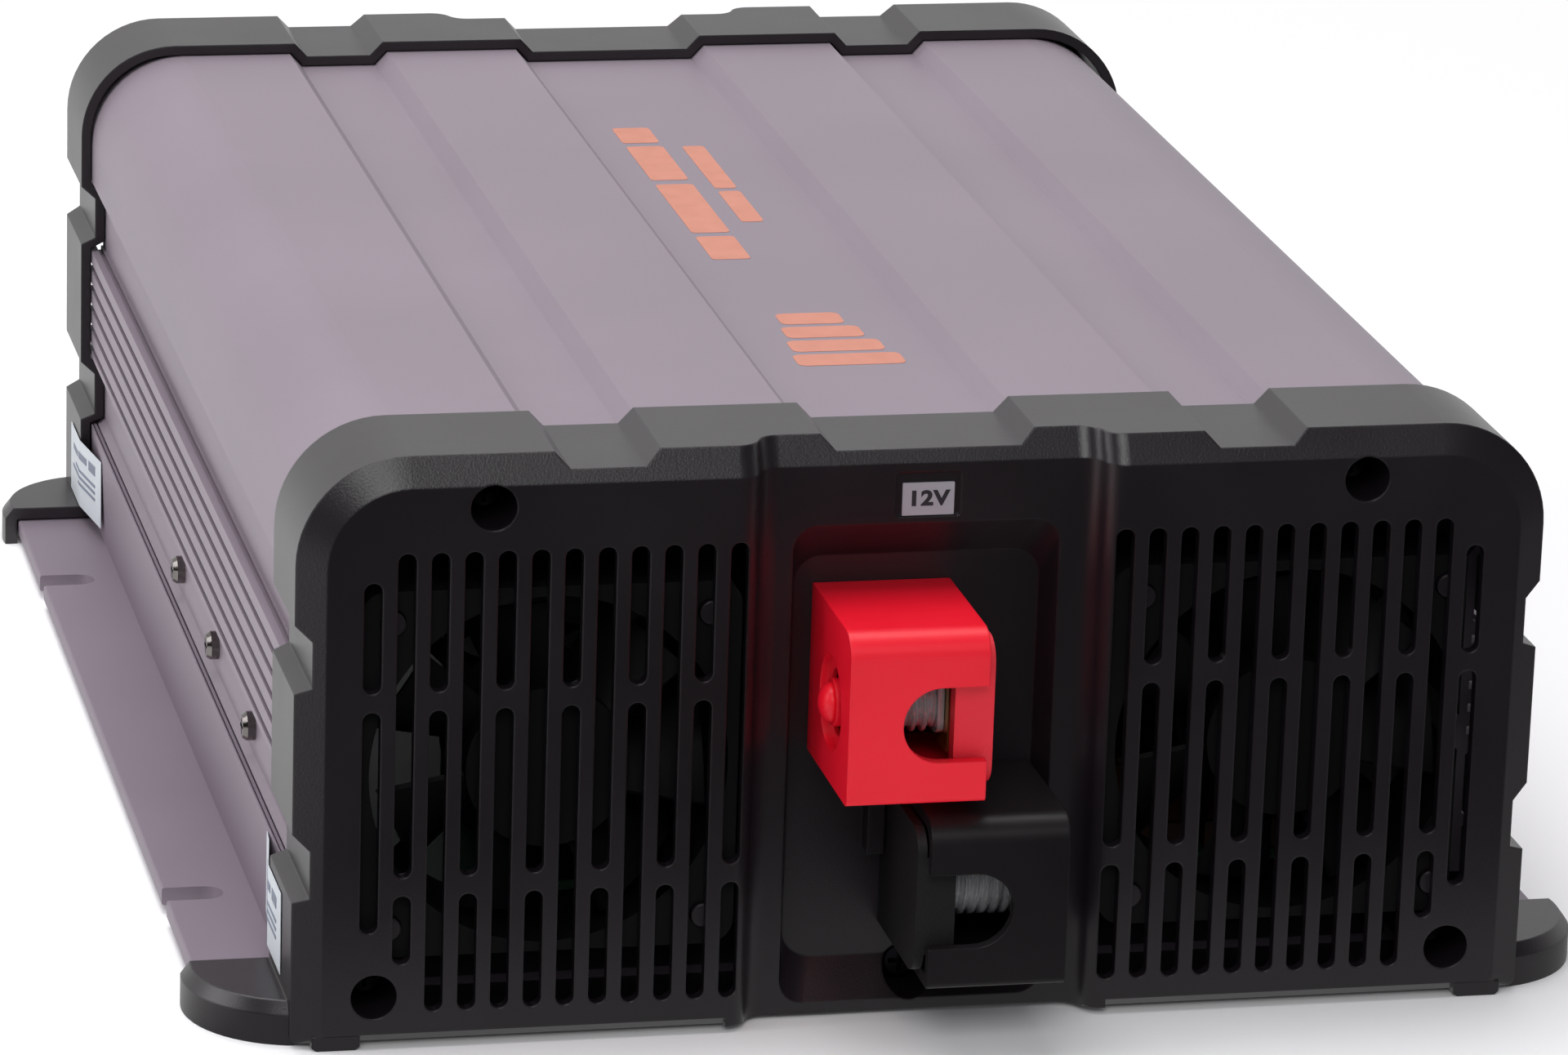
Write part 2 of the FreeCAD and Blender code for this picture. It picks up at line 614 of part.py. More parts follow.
def front_cap():
    """DC end: two fan grilles and a pocket for the two battery terminals."""
    body = end_cap("front_cap")
    wall = size("FaceWall")
    reach = size("PocketHalf") + wall
    box = rectangle(-reach, size("PocketLow") - 1.0, reach, pocket_high + wall)
    pad(body, "pocket_wall", "XZ", "FaceWall", "RecessDepth + PocketDepth + FaceWall", [box])
    finish_cap(body)
    mouth = size("PocketHalf")
    draft, slope = size("PocketDraft"), size("PocketSlope")
    low, high = size("PocketLow"), pocket_high
    loft(body, "Subtractive", "pocket", "XZ", [
        ("RecessDepth - 1", rectangle(-mouth, low, mouth, high, 4.0)),
        ("RecessDepth", rectangle(-mouth, low, mouth, high, 4.0)),
        ("RecessDepth + PocketDepth",
         rectangle(-mouth + draft, low + slope - 0.6, mouth - draft, high - slope - 0.5, 4.5)),
    ])
    grille(body, "grille", (1, -1))
    posts = [circle(x, z, size("FanPost")) for x, z in fan_places()]
    pad(body, "fan_posts", "XZ", "FaceWall - 0.5", FAN_BACK + " - 3", posts)
    pilots = [circle(x, z, 1.05) for x, z in fan_places()]
    pocket(body, "fan_pilots", "XZ", FAN_FRONT + " + 4", FAN_BACK, pilots)
    frame = rectangle(-5.2, pocket_high + 1.0, 5.2, pocket_high + 8.2, 0.6)
    pocket(body, "rating_frame", "XZ", "RecessDepth - 1", "RecessDepth + 0.4", [frame])
    plate_edge = size("CoverMid") - cover_half_offset() - 1.8
    plate_top = size("NegativeBase") + size("CoverHeight") + 0.4
    rib = [
        (plate_edge - 2.8, plate_top - 14.0), (plate_edge, plate_top - 14.0),
        (plate_edge, plate_top), (plate_edge + 2.6, plate_top),
        (plate_edge + 2.6, plate_top + 2.6), (plate_edge - 2.8, plate_top + 2.6),
    ]
    pad(body, "terminal_rib", "XZ", "RecessDepth + 2", "RecessDepth + PocketDepth + 0.5", [rib])
    windows = [terminal_window(side) for side in (1, -1)]
    behind = "RecessDepth + PocketDepth + FaceWall + 1"
    pocket(body, "bus_windows", "XZ", "RecessDepth + 2", behind, windows)
    body.setExpression(".Placement.Base.y", formula(FRONT_FACE))
    return body


def rear_cap():
    """AC end: sockets on one side, an exhaust grille on the other, the switch between them."""
    body = end_cap("rear_cap")
    stud_z = 20.0
    pad(body, "stud_boss", "XZ", "FaceWall", "RecessDepth + FaceWall + 4", [circle(0, stud_z, 6.0)])
    finish_cap(body)
    grille(body, "exhaust", (1,))
    edge = size("CollarHalf") - 6.8
    slots = []
    for low, high in ((30.5, 55.5), (57.5, 69.5), (71.5, 82.0)):
        slots += [slot(edge, low, high, 4.2), slot(-edge, low, high, 4.2)]
    pocket(body, "edge_exhaust", "XZ", "-1", "FaceWall + 1", slots)
    windows = []
    for z in (size("UpperOutletZ"), size("LowerOutletZ")):
        windows.append(rectangle(-outlet_x - 17.5, z - 13.5, -outlet_x + 17.5, z + 13.5, 2.0))
    pocket(body, "socket_windows", "XZ", "-1", "FaceWall + 1", windows)
    switch_z = size("SwitchZ")
    window = rectangle(-9.5, switch_z - 14.0, 9.5, switch_z + 14.0, 1.0)
    lamps = [circle(-6.0, 79.0, 2.6), circle(6.0, 79.0, 2.6)]
    hole = circle(0, stud_z, size("StudRadius") + 0.6)
    behind = "RecessDepth + FaceWall + 8"
    pocket(body, "panel_holes", "XZ", "RecessDepth - 1", behind, [window, hole] + lamps)
    body.Placement = Placement(Vector(0, front_y + size("CapSpan"), 0), Rotation(Vector(0, 0, 1), 180))
    body.setExpression(".Placement.Base.y", formula(FRONT_FACE + " + CapSpan"))
    return body


# ---------------------------------------------------------------- body extrusions

def shell_right():
    """Outer side line of the shell from its foot up to the corner, with the fins."""
    half, channel = body_half, channel_x
    rim = size("TrayRim")
    points = [
        (channel + 0.15, 14.0), (channel + 0.15, rim - 1.3), (channel + 1.25, rim - 1.3),
        (channel + 1.25, rim), (channel, rim + 1.0),
        (channel, size("LowerNotchHigh") - 1.3), (half, size("LowerNotchHigh") + 1.1),
    ]
    floor = half - size("FinDepth")
    for index in range(int(size("FinCount"))):
        z = size("FirstFin") + index * size("FinPitch")
        points += [(half, z), (floor, z), (floor, z + size("FinGroove")), (half, z + size("FinGroove"))]
    shelf = size("FinTop")
    points += [
        (half, shelf), (half - 1.3, shelf), (half - 1.3, shelf - 0.8), (half - 2.2, shelf - 0.8),
        (half - 2.2, shelf), (channel, shelf), (channel, size("UpperNotchHigh") - 1.4),
        (half, size("UpperNotchHigh") + 1.0), (half, body_top, size("CornerRadius") - 0.2),
    ]
    return points


def shell_inner_right():
    wall = size("ShellWall")
    upper = body_half - wall
    return [
        (shell_inner, 14.0), (shell_inner, size("UpperNotchHigh") - 2.0),
        (upper, size("UpperNotchHigh") + 1.0),
        (upper, body_top - wall, size("CornerRadius") - 0.2 - wall),
    ]


def top_shell():
    """Ridged and finned extrusion that closes the top and both sides."""
    body = new_body("top_shell")
    wall = size("ShellWall")
    clear = size("CollarWall") + 0.5
    ridges = ridge_line(clear, body_top)
    outer = shell_right() + ridges + flipped(shell_right())[::-1]
    ceiling = ridge_line(clear + 2.0 * wall / 3, body_top - wall)
    inner = shell_inner_right() + ceiling + flipped(shell_inner_right())[::-1]
    section = outer + inner[::-1]
    pad(body, "section", "XZ", BODY_FRONT, BODY_BACK, [section])
    x, z = screw_places()[1][:2]
    roof = body_top - 0.5 * wall
    boss = [(x - 3.9, roof), (x - 3.9, z - 3.9, 3.6), (x + 3.9, z - 3.9, 3.6), (x + 3.9, roof)]
    pad(body, "screw_bosses", "XZ", BODY_FRONT, BODY_BACK, both(boss))
    pilot = [circle(-x, z, 1.65), circle(x, z, 1.65)]
    pocket(body, "screw_pilots", "XZ", BODY_FRONT + " - 1", BODY_BACK + " + 1", pilot)
    for side, start, end in (("right", "0", "CollarHalf"), ("left", "-CollarHalf", "0")):
        hole = circle(size("SideScrewFirst"), size("SideScrewZ"), 2.15)
        seed = pocket(body, "side_hole_" + side, "YZ", start, end, [hole])
        repeat(body, "side_holes_" + side, [seed], "Y", "SideScrewPitch", "3")
    return body


def base_tray():
    """Floor, low side walls and mounting flanges in one extrusion, with open-ended flange slots."""
    body = new_body("base_tray")
    low = size("TrayBottom")
    crease = low + size("FlangeThick")
    outer = body_half - 0.1
    foot = outer - 0.6
    inner = tray_inner
    rim = size("TrayRim")
    lip = channel_x + 1.55
    right = [
        (flange_half, low, 0.4), (flange_half, crease, 0.4), (foot, crease),
        (outer, rim - 2.0), (outer, rim), (outer - 0.2, rim), (outer - 0.2, rim - 0.6),
        (outer - 0.45, rim - 0.6), (outer - 0.45, rim), (lip, rim), (lip, rim - 1.6),
        (inner, rim - 1.6), (inner, floor_top, 1.0),
    ]
    section = right + flipped(right)[::-1]
    pad(body, "section", "XZ", BODY_FRONT, BODY_BACK, [section])
    x, z = screw_places()[3][:2]
    base = floor_top - 0.5
    boss = [(x - 3.8, base), (x + 3.8, base), (x + 3.8, z + 3.8, 3.6), (x - 3.8, z + 3.8, 3.6)]
    middle_z = size("MidScrewZ")
    middle = [(-4.2, base), (4.2, base), (4.2, middle_z + 3.4, 2.0), (-4.2, middle_z + 3.4, 2.0)]
    pad(body, "screw_bosses", "XZ", BODY_FRONT, BODY_BACK, both(boss) + [middle])
    pilots = [circle(px, pz, 1.65) for px, pz, seat in screw_places()[2:]]
    pocket(body, "screw_pilots", "XZ", BODY_FRONT + " - 1", BODY_BACK + " + 1", pilots)
    half = size("FlangeSlotWidth") / 2
    start = size("CapSpan") / 2 - size("SlotSpan") / 2
    end = flange_half + 2.0
    near = size("CollarHalf") + size("FlangeSlotReach")
    for side, sign in (("right", 1), ("left", -1)):
        low_in = Vector(sign * (near + half), start - half, 0)
        high_in = Vector(sign * (near + half), start + half, 0)
        low_out = Vector(sign * end, start - half, 0)
        high_out = Vector(sign * end, start + half, 0)
        cut_slot = [
            Part.Arc(low_in, Vector(sign * near, start, 0), high_in),
            Part.LineSegment(high_in, high_out),
            Part.LineSegment(high_out, low_out),
            Part.LineSegment(low_out, low_in),
        ]
        seed = pocket(body, "flange_slot_" + side, "XY", "0", "EarHeight", [cut_slot])
        repeat(body, "flange_slots_" + side, [seed], "Y", "SlotSpan", "2")
    return body


# ---------------------------------------------------------------- battery terminals

def terminal(side):
    """Places of one terminal: +1 is the positive one, -1 the negative, mirrored in width."""
    return {
        "name": "positive" if side > 0 else "negative",
        "base": size("PositiveBase") if side > 0 else size("NegativeBase"),
        "side": -side,
    }


def across(place, offset):
    """Width coordinate at an offset from the covers' own half-way plane."""
    return size("CoverMid") + place["side"] * offset


def cover_half_offset():
    """How far a cover's open side lies beyond the covers' half-way plane."""
    return size("CoverWidth") / 2 - 7.0


def cover_edges(place):
    """Closed side and open side of a cover."""
    open_side = -cover_half_offset()
    return across(place, open_side + size("CoverWidth")), across(place, open_side)


def along_clamp(place, start, end):
    """Two width coordinates in rising order, given as distances from a cover's open side."""
    opened = cover_edges(place)[1]
    return sorted((opened + place["side"] * start, opened + place["side"] * end))


# Distances from the open side of a cover at which the clamp's pieces start and end.
JAW = (3.35, 4.9)
SADDLE = (JAW[1] + 0.1, JAW[1] + 1.1)
THREAD = (SADDLE[1] + 0.05, SADDLE[1] + 0.05 + size("ClampLength"))
HEAD = (THREAD[1] - 0.5, size("CoverWidth") - 0.2)
CLOSED_WALL = size("CoverWidth") - size("CoverWall")
THREADED_JAW = (CLOSED_WALL - 3.9, CLOSED_WALL - 0.3)


def terminal_window(side):
    """Opening in the pocket floor that a terminal's bus bar passes through."""
    place = terminal(side)
    middle = across(place, size("CableOffset"))
    z = place["base"] + size("CableHeight")
    return rectangle(middle - 6.6, z - 5.6, middle + 6.6, z + 5.6, 1.0)


def terminal_cover(side):
    """Smooth cover with the cable entry in front and the screw's access well in its closed side."""
    place = terminal(side)
    body = new_body(place["name"] + "_cover")
    base, height = place["base"], size("CoverHeight")
    closed, opened = cover_edges(place)
    top = base + height
    low_x, high_x = min(closed, opened), max(closed, opened)
    profile = [
        (cover_front, base, 1.0), (pocket_floor, base, 0.3),
        (pocket_floor, top, 0.3), (cover_front, top, size("CoverRound")),
    ]
    pad(body, "block", "YZ", str(low_x), str(high_x), [profile])
    wall = size("CoverWall")
    hollow = [
        (cover_front + wall, base + wall, 0.5), (pocket_floor + 1, base + wall),
        (pocket_floor + 1, top - wall), (cover_front + wall, top - wall, size("CoverRound") - 1.2),
    ]
    sign = place["side"]
    start, end = sorted((closed - sign * wall, opened - sign * 1.0))
    pocket(body, "hollow", "YZ", str(start), str(end), [hollow])
    z = base + size("CableHeight")
    radius = size("CableRadius")
    middle = across(place, size("CableOffset"))
    entry = circle(middle, z, radius)
    pocket(body, "cable_entry", "XZ", str(cover_front - 1), str(cover_front + wall + 1), [entry])
    edges = sorted((middle, opened - sign))
    gate = rectangle(edges[0], z - radius, edges[1], z + radius)
    pocket(body, "gate_opening", "XZ", str(cover_front - 1), str(cover_front + wall + 1), [gate])
    start, end = sorted((closed + sign, closed - sign * 1.2))
    pocket(body, "access_well", "YZ", str(start), str(end), [circle(screw_y, z, 7.6)])
    start, end = sorted((closed + sign, closed - sign * (wall + 1)))
    pocket(body, "access_hole", "YZ", str(start), str(end), [circle(screw_y, z, size("ClampRadius") + 0.4)])
    return body


def terminal_body(side):
    """Textured carrier behind the cover: a side plate and the flat edge of the cable entry."""
    place = terminal(side)
    body = new_body(place["name"] + "_carrier")
    base = place["base"]
    opened = cover_edges(place)[1]
    sign = place["side"]
    gap = 0.05
    inner, outer = opened - sign * gap, opened - sign * 1.55
    start, end = sorted((inner, outer))
    front = cover_front + size("CoverWall") + 0.9
    low, high = base + 1.3, base + size("CoverHeight") - 2.4
    plate = [
        (front, low, 4.0), (pocket_floor, low), (pocket_floor, high), (front, high, 4.0),
    ]
    pad(body, "side_plate", "YZ", str(start), str(end), [plate])
    z = base + size("CableHeight")
    radius = size("CableRadius")
    step = 4.7
    start, end = sorted((inner - sign * 0.5, opened + sign * step))
    web = rectangle(front, z - radius - 2.0, front + 3.0, z + radius + 2.0, 0.3)
    pad(body, "entry_edge", "YZ", str(start), str(end), [web])
    return body


def clamp_cage(side):
    """Brass cage: fixed jaw behind the entry's flat, threaded jaw for the screw, lug to the bus bar."""
    place = terminal(side)
    body = new_body(place["name"] + "_clamp_cage")
    z = place["base"] + size("CableHeight")
    high = size("ClampRadius") + 1.8
    seat = pocket_floor - 0.1
    front = screw_y - high
    plate = rectangle(front, z - high, seat, z + high, 0.5)
    start, end = along_clamp(place, *JAW)
    pad(body, "fixed_jaw", "YZ", str(start), str(end), [plate])
    start, end = along_clamp(place, *THREADED_JAW)
    pad(body, "threaded_jaw", "YZ", str(start), str(end), [plate])
    hole = circle(screw_y, z, size("ClampRadius") + size("RunningGap"))
    pocket(body, "screw_thread", "YZ", str(start - 0.5), str(end + 0.5), [hole])
    start, end = along_clamp(place, JAW[0], THREADED_JAW[1])
    pad(body, "bridge", "XZ", str(seat - 2.0), str(seat), [rectangle(start, z - 5.2, end, z + 5.2)])
    middle = across(place, size("CableOffset"))
    lug = rectangle(middle - 6.0, z - 1.5, middle + 6.0, z + 1.5, 0.4)
    pad(body, "lug", "XZ", str(seat - 0.5), str(pocket_back + 6.5), [lug])
    return body


def clamp_screw(side):
    """Steel thread that closes the clamp."""
    place = terminal(side)
    body = new_body(place["name"] + "_clamp_screw")
    z = place["base"] + size("CableHeight")
    start, end = along_clamp(place, *THREAD)
    pad(body, "thread", "YZ", str(start), str(end), [circle(screw_y, z, size("ClampRadius"))])
    start, end = along_clamp(place, HEAD[0], HEAD[1] + 1.0)
    pocket(body, "head_seat", "YZ", str(start), str(end), [circle(screw_y, z, 2.6)])
    return body


def clamp_head(side):
    """Insulated head with a hexagon socket, pressed into the end of the clamp screw."""
    place = terminal(side)
    body = new_body(place["name"] + "_screw_head")
    z = place["base"] + size("CableHeight")
    start, end = along_clamp(place, *HEAD)
    pad(body, "stem", "YZ", str(start), str(end), [circle(screw_y, z, 2.6)])
    start, end = along_clamp(place, THREAD[1], HEAD[1])
    pad(body, "head", "YZ", str(start), str(end), [circle(screw_y, z, 3.8)])
    hexagon = []
    for corner in range(6):
        turn = math.radians(60 * corner)
        hexagon.append((screw_y + 2.0 * math.cos(turn), z + 2.0 * math.sin(turn)))
    start, end = along_clamp(place, HEAD[1] - 1.6, HEAD[1] + 1.0)
    pocket(body, "socket", "YZ", str(start), str(end), [hexagon])
    return body


def clamp_saddle(side):
    """Saddle on the tip of the clamp screw that presses on the cable without turning."""
    place = terminal(side)
    body = new_body(place["name"] + "_clamp_saddle")
    z = place["base"] + size("CableHeight")
    start, end = along_clamp(place, *SADDLE)
    reach = size("ClampRadius") - 0.3
    plate = rectangle(screw_y - reach, z - reach, screw_y + reach, z + reach, 2.4)
    pad(body, "saddle", "YZ", str(start), str(end), [plate])
    return body


def bus_bar(side):
    """Copper strap from the terminal's lug down to the main board."""
    place = terminal(side)
    body = new_body(place["name"] + "_bus_bar")
    middle = across(place, size("CableOffset"))
    z = place["base"] + size("CableHeight")
    thick = 2.0
    lug_top = z + 1.5
    start = pocket_back + 1.0
    drop = size("BoardFront") + (24.0 if side > 0 else 6.0)
    foot = board_top
    strap = [
        (start, lug_top), (start, lug_top + thick), (drop + thick, lug_top + thick, 2.5),
        (drop + thick, foot + thick, 0.5), (drop + 12.0, foot + thick), (drop + 12.0, foot),
        (drop, foot, 2.5), (drop, lug_top, 0.5),
    ]
    pad(body, "strap", "YZ", str(middle - 6.0), str(middle + 6.0), [strap])
    return body


# ---------------------------------------------------------------- fans

def fan_frame(side):
    """Square frame with a round duct, and a bearing tube held by four arms at the back."""
    label = "fan_frame_right" if side > 0 else "fan_frame_left"
    body = new_body(label)
    x, z = side * fan_x, size("FanZ")
    half = size("FanSize") / 2
    back = FAN_BACK
    square = rectangle(x - half, z - half, x + half, z + half, 4.0)
    pad(body, "frame", "XZ", FAN_FRONT, back, [square])
    pocket(body, "duct", "XZ", FAN_FRONT + " - 1", back + " + 1", [circle(x, z, size("FanBore"))])
    waist = []
    reach = size("FanHoles") - 7.0
    for sx, sz in ((1, 0), (-1, 0), (0, 1), (0, -1)):
        deep = half - size("FanBore") - 0.8 + 2.0
        cx, cz = x + sx * (half + 2.0), z + sz * (half + 2.0)
        dx, dz = (deep, reach) if sx else (reach, deep)
        waist.append(rectangle(cx - dx, cz - dz, cx + dx, cz + dz, 1.0))
    pocket(body, "waist", "XZ", FAN_FRONT + " + 3.5", back + " - 3.5", waist)
    pad(body, "motor_plate", "XZ", back + " - 3", back, [circle(x, z, 14.0)])
    reach = size("FanBore") + 0.8
    for index, angle in enumerate((45, 135, 225, 315)):
        turn = math.radians(angle)
        along = Vector(math.cos(turn), math.sin(turn), 0)
        over = Vector(-along.y, along.x, 0) * 1.4
        corners = [along * 12.0 - over, along * reach - over, along * reach + over, along * 12.0 + over]
        arm = [(x + corner.x, z + corner.y) for corner in corners]
        pad(body, f"arm_{index}", "XZ", back + " - 3", back, [arm])
    tube = FAN_FRONT + " + 7"
    pad(body, "bearing_tube", "XZ", tube, back, [circle(x, z, 3.6)])
    bore = size("ShaftRadius") + size("RunningGap")
    pocket(body, "bearing", "XZ", FAN_FRONT + " - 1", back + " - 1", [circle(x, z, bore)])
    holes = []
    for dx in (-size("FanHoles"), size("FanHoles")):
        for dz in (-size("FanHoles"), size("FanHoles")):
            holes.append(circle(x + dx, z + dz, 2.1))
    pocket(body, "screw_holes", "XZ", FAN_FRONT + " - 1", back + " + 1", holes)
    return body


def fan_impeller(side):
    """Hub cup, stub shaft and twisted blades; built about its own axis, then set in the frame."""
    label = "fan_impeller_right" if side > 0 else "fan_impeller_left"
    body = new_body(label, depth_from_face=False)
    hub = size("HubRadius")
    pad(body, "hub", "XZ", "1.2", "14", [circle(0, 0, hub)])
    pocket(body, "cup", "XZ", "3", "15", [circle(0, 0, hub - 1.4)])
    pad(body, "shaft", "XZ", "2.5", "17.5", [circle(0, 0, size("ShaftRadius"))])
    sections = []
    for radius, half, rise, bow in ((hub - 0.8, 4.6, 5.4, 0.9), (size("BladeTip"), 7.8, 4.3, 1.2)):
        middle = 7.8
        thick = 0.6
        front = Vector(middle - rise, -half, 0)
        back = Vector(middle + rise, half, 0)
        crown = Vector(middle - bow, bow, 0)
        lift = Vector(thick, -thick, 0)
        outline = [
            Part.Arc(front, crown, back),
            Part.LineSegment(back, back + lift),
            Part.Arc(back + lift, crown + lift, front + lift),
            Part.LineSegment(front + lift, front),
        ]
        sections.append((str(radius), outline))
    blade = loft(body, "Additive", "blade", "YZ", sections)
    turned(body, "blades", [blade], "Y", "BladeCount")
    place = Vector(side * fan_x, front_y + fan_front, size("FanZ"))
    body.Placement = Placement(place, Rotation())
    body.setExpression(".Placement.Base.x", formula(f"{side} * (CollarHalf - FanInset)"))
    body.setExpression(".Placement.Base.y", formula(FRONT_FACE + " + " + FAN_FRONT))
    body.setExpression(".Placement.Base.z", formula("FanZ"))
    return body


# ---------------------------------------------------------------- power electronics

def main_board():
    """Circuit board on standoffs over the tray floor."""
    body = new_body("main_board")
    plan = rectangle(-board_half, size("BoardFront"), board_half, board_end, 2.0)
    pad(body, "board", "XY", "BoardBottom", "BoardBottom + BoardThick", [plan])
    holes = [circle(x, y, 1.7) for x, y in board_holes()]
    pocket(body, "holes", "XY", "BoardBottom - 1", "BoardBottom + BoardThick + 1", holes)
    return body


def board_holes():
    half = board_half - 5.0
    first = size("BoardFront") + 6.0
    step = (board_end - 6.0 - first) / 2
    return [(sign * half, first + index * step) for sign in (-1, 1) for index in range(3)]


def board_fixings():
    """Standoffs under the board and the screws that hold it."""
    posts = []
    screws = []
    for x, y in board_holes():
        post = rod(3.2, size("BoardBottom") - floor_top, (x, y, floor_top), (0, 0, 1))
        bore = rod(1.5, 6.5, (x, y, size("BoardBottom") - 6.5), (0, 0, 1))
        posts.append(post.cut(bore))
        screws.append(screw(2.8, 1.8, 1.45, 7.0, (x, y, board_top), (0, 0, 1)))
    group("board_standoffs", posts)
    group("board_screws", screws)


def heat_sinks():
    """Bars that carry the transistors and take the side screws, one against each shell side."""
    front = size("SinkFront")
    for side, label in ((-1, "heat_sink_left"), (1, "heat_sink_right")):
        body = new_body(label)
        outer = side * shell_inner
        inner = side * (shell_inner - size("SinkThick"))
        low = board_top + 3.0
        plan = rectangle(min(outer, inner), front, max(outer, inner), sink_end)
        pad(body, "bar", "XY", str(low), str(low) + " + SinkHeight", [plan])
        start, end = sorted((outer + side, inner - side))
        hole = circle(size("SideScrewFirst"), size("SideScrewZ"), 1.65)
        seed = pocket(body, "thread", "YZ", str(start), str(end), [hole])
        repeat(body, "threads", [seed], "Y", "SideScrewPitch", "3")


def transistors():
    """Power transistors standing on the board against the heat sink bars."""
    packages = []
    face = shell_inner - size("SinkThick")
    pitch = 19.0
    count = 7
    first = (size("SinkFront") + sink_end - (count - 1) * pitch) / 2
    low = board_top + 4.5
    for side in (-1, 1):
        for index in range(count):
            y = first + index * pitch
            x0, x1 = sorted((side * face, side * (face - 4.8)))
            package = block(x0, y - 7.8, low, x1, y + 7.8, low + 20.5)
            legs = []
            for offset in (-5.4, 0.0, 5.4):
                inner = side * (face - 2.4)
                leg_y = y + offset
                legs.append(block(inner - 0.35, leg_y - 0.6, board_top, inner + 0.35, leg_y + 0.6, low))
            packages.append(package.fuse(legs))
    group("power_transistors", packages)


def transformers():
    """Ferrite cores with wound bobbins, in a row down the middle of the board."""
    cores = []
    windings = []
    pitch = 44.0
    first = size("BoardFront") + 76.0
    z0 = board_top + 0.2
    for index in range(3):
        y = first + index * pitch
        width, height, deep = 52.0, 42.0, 17.0
        core = block(-width / 2, y - deep / 2, z0, width / 2, y + deep / 2, z0 + height)
        for side in (-1, 1):
            a, b = sorted((side * 7.5, side * (width / 2 - 7.0)))
            window = block(a, y - deep, z0 + 7.0, b, y + deep, z0 + height - 7.0)
            core = core.cut(window)
        cores.append(core)
        low, high = z0 + 7.4, z0 + height - 7.4
        outside = block(-18.0, y - 16.0, low, 18.0, y + 16.0, high)
        upright = [edge for edge in outside.Edges if abs(edge.tangentAt(edge.FirstParameter).z) > 0.9]
        outside = outside.makeFillet(8.0, upright)
        inside = block(-7.9, y - deep / 2 - 0.4, low - 1, 7.9, y + deep / 2 + 0.4, high + 1)
        windings.append(outside.cut(inside))
    group("transformer_cores", cores)
    group("transformer_windings", windings)


def capacitors():
    """Input capacitors at the battery end and two large ones at the mains end."""
    small = []
    y = size("BoardFront") + 30.5
    for side in (-1, 1):
        for column in range(3):
            for line in range(2):
                x = side * (20.5 + 17.0 * column)
                small.append(rod(8.0, 30.0, (x, y + 17.0 * line, board_top), (0, 0, 1)))
    group("input_capacitors", small)
    y = board_end - 20.0
    group("output_capacitors", [rod(15.0, 42.0, (x, y, board_top), (0, 0, 1)) for x in (-22.0, 14.0)])


def output_choke():
    """Wound ring that filters the mains output, standing on the board."""
    x, y = board_half - 28.0, board_end - 20.0
    middle = (x - 6.0, y, board_top + 18.5)
    ring = rod(18.0, 12.0, middle, (1, 0, 0)).cut(rod(7.0, 12.0, middle, (1, 0, 0)))
    foot = block(x - 5.0, y - 9.0, board_top, x + 5.0, y + 9.0, board_top + 3.0)
    group("output_choke", [ring.fuse(foot)])


def control_board():
    """Upright driver board beside the transformers."""
    body = new_body("control_board")
    x, y = board_half - 31.0, size("BoardFront") + 62.0
    plan = rectangle(x, y, x + size("BoardThick"), y + 86.0)
    level = "BoardBottom + BoardThick"
    pad(body, "board", "XY", level, level + " + 0.7 * SinkHeight", [plan])
    return body


def fuses():
    """Blade fuses behind the positive strap."""
    row = []
    y = size("BoardFront") + 11.2
    for index in range(6):
        x = 28.0 + index * 8.0
        body = block(x - 2.6, y - 9.5, board_top + 5.0, x + 2.6, y + 9.5, board_top + 15.0)
        holder = block(x - 3.2, y - 10.5, board_top, x + 3.2, y + 10.5, board_top + 5.0)
        row.append(holder.fuse(body))
    group("blade_fuses", row)


# ---------------------------------------------------------------- mains end

def rear(x, depth, z):
    """Point given from the rear face, seen from behind, in the inverter's own depths."""
    return Vector(-x, size("CapSpan") - depth, z)


def rear_body(label):
    """Body whose depth runs inwards from the rear face."""
    body = new_body(label, depth_from_face=False)
    body.Placement = Placement(Vector(0, front_y + size("CapSpan"), 0), Rotation(Vector(0, 0, 1), 180))
    body.setExpression(".Placement.Base.y", formula(FRONT_FACE + " + CapSpan"))
    return body


def ac_socket(label, z):
    """Three-hole mains socket that snaps into the rear face."""
    body = rear_body(label)
    x = -outlet_x
    pad(body, "flange", "XZ", "-2.4", "0", [rectangle(x - 20.0, z - 16.0, x + 20.0, z + 16.0, 3.0)])
    pad(body, "housing", "XZ", "0", "20", [rectangle(x - 17.2, z - 13.2, x + 17.2, z + 13.2, 1.8)])
    sink = rectangle(x - 16.0, z - 12.0, x + 16.0, z + 12.0, 3.0)
    pocket(body, "dish", "XZ", "-3.4", "-1.2", [sink])
    blades = [
        rectangle(x - 2.0 - 6.35 - 1.1, z - 4.0, x - 2.0 - 6.35 + 1.1, z + 4.0),
        rectangle(x - 2.0 + 6.35 - 1.1, z - 3.3, x - 2.0 + 6.35 + 1.1, z + 3.3),
    ]
    earth = [
        (x - 4.6, z - 6.0), (x + 0.6, z - 6.0), (x + 0.6, z - 8.6, 2.4), (x - 4.6, z - 8.6, 2.4),
    ]
    pocket(body, "blade_slots", "XZ", "-3", "14", blades + [earth])
    return body


def socket_contacts():
    """Brass tails at the back of the sockets that the output leads are soldered to."""
    tails = []
    for z in (size("UpperOutletZ"), size("LowerOutletZ")):
        for dx, dz in ((-8.35, 0.0), (4.35, 0.0), (-2.0, -8.0)):
            x, y, height = rear(-outlet_x + dx, 26.0, z + dz)
            tails.append(block(x - 2.4, y, height - 0.5, x + 2.4, y + 6.0, height + 0.5))
    group("socket_contacts", tails)


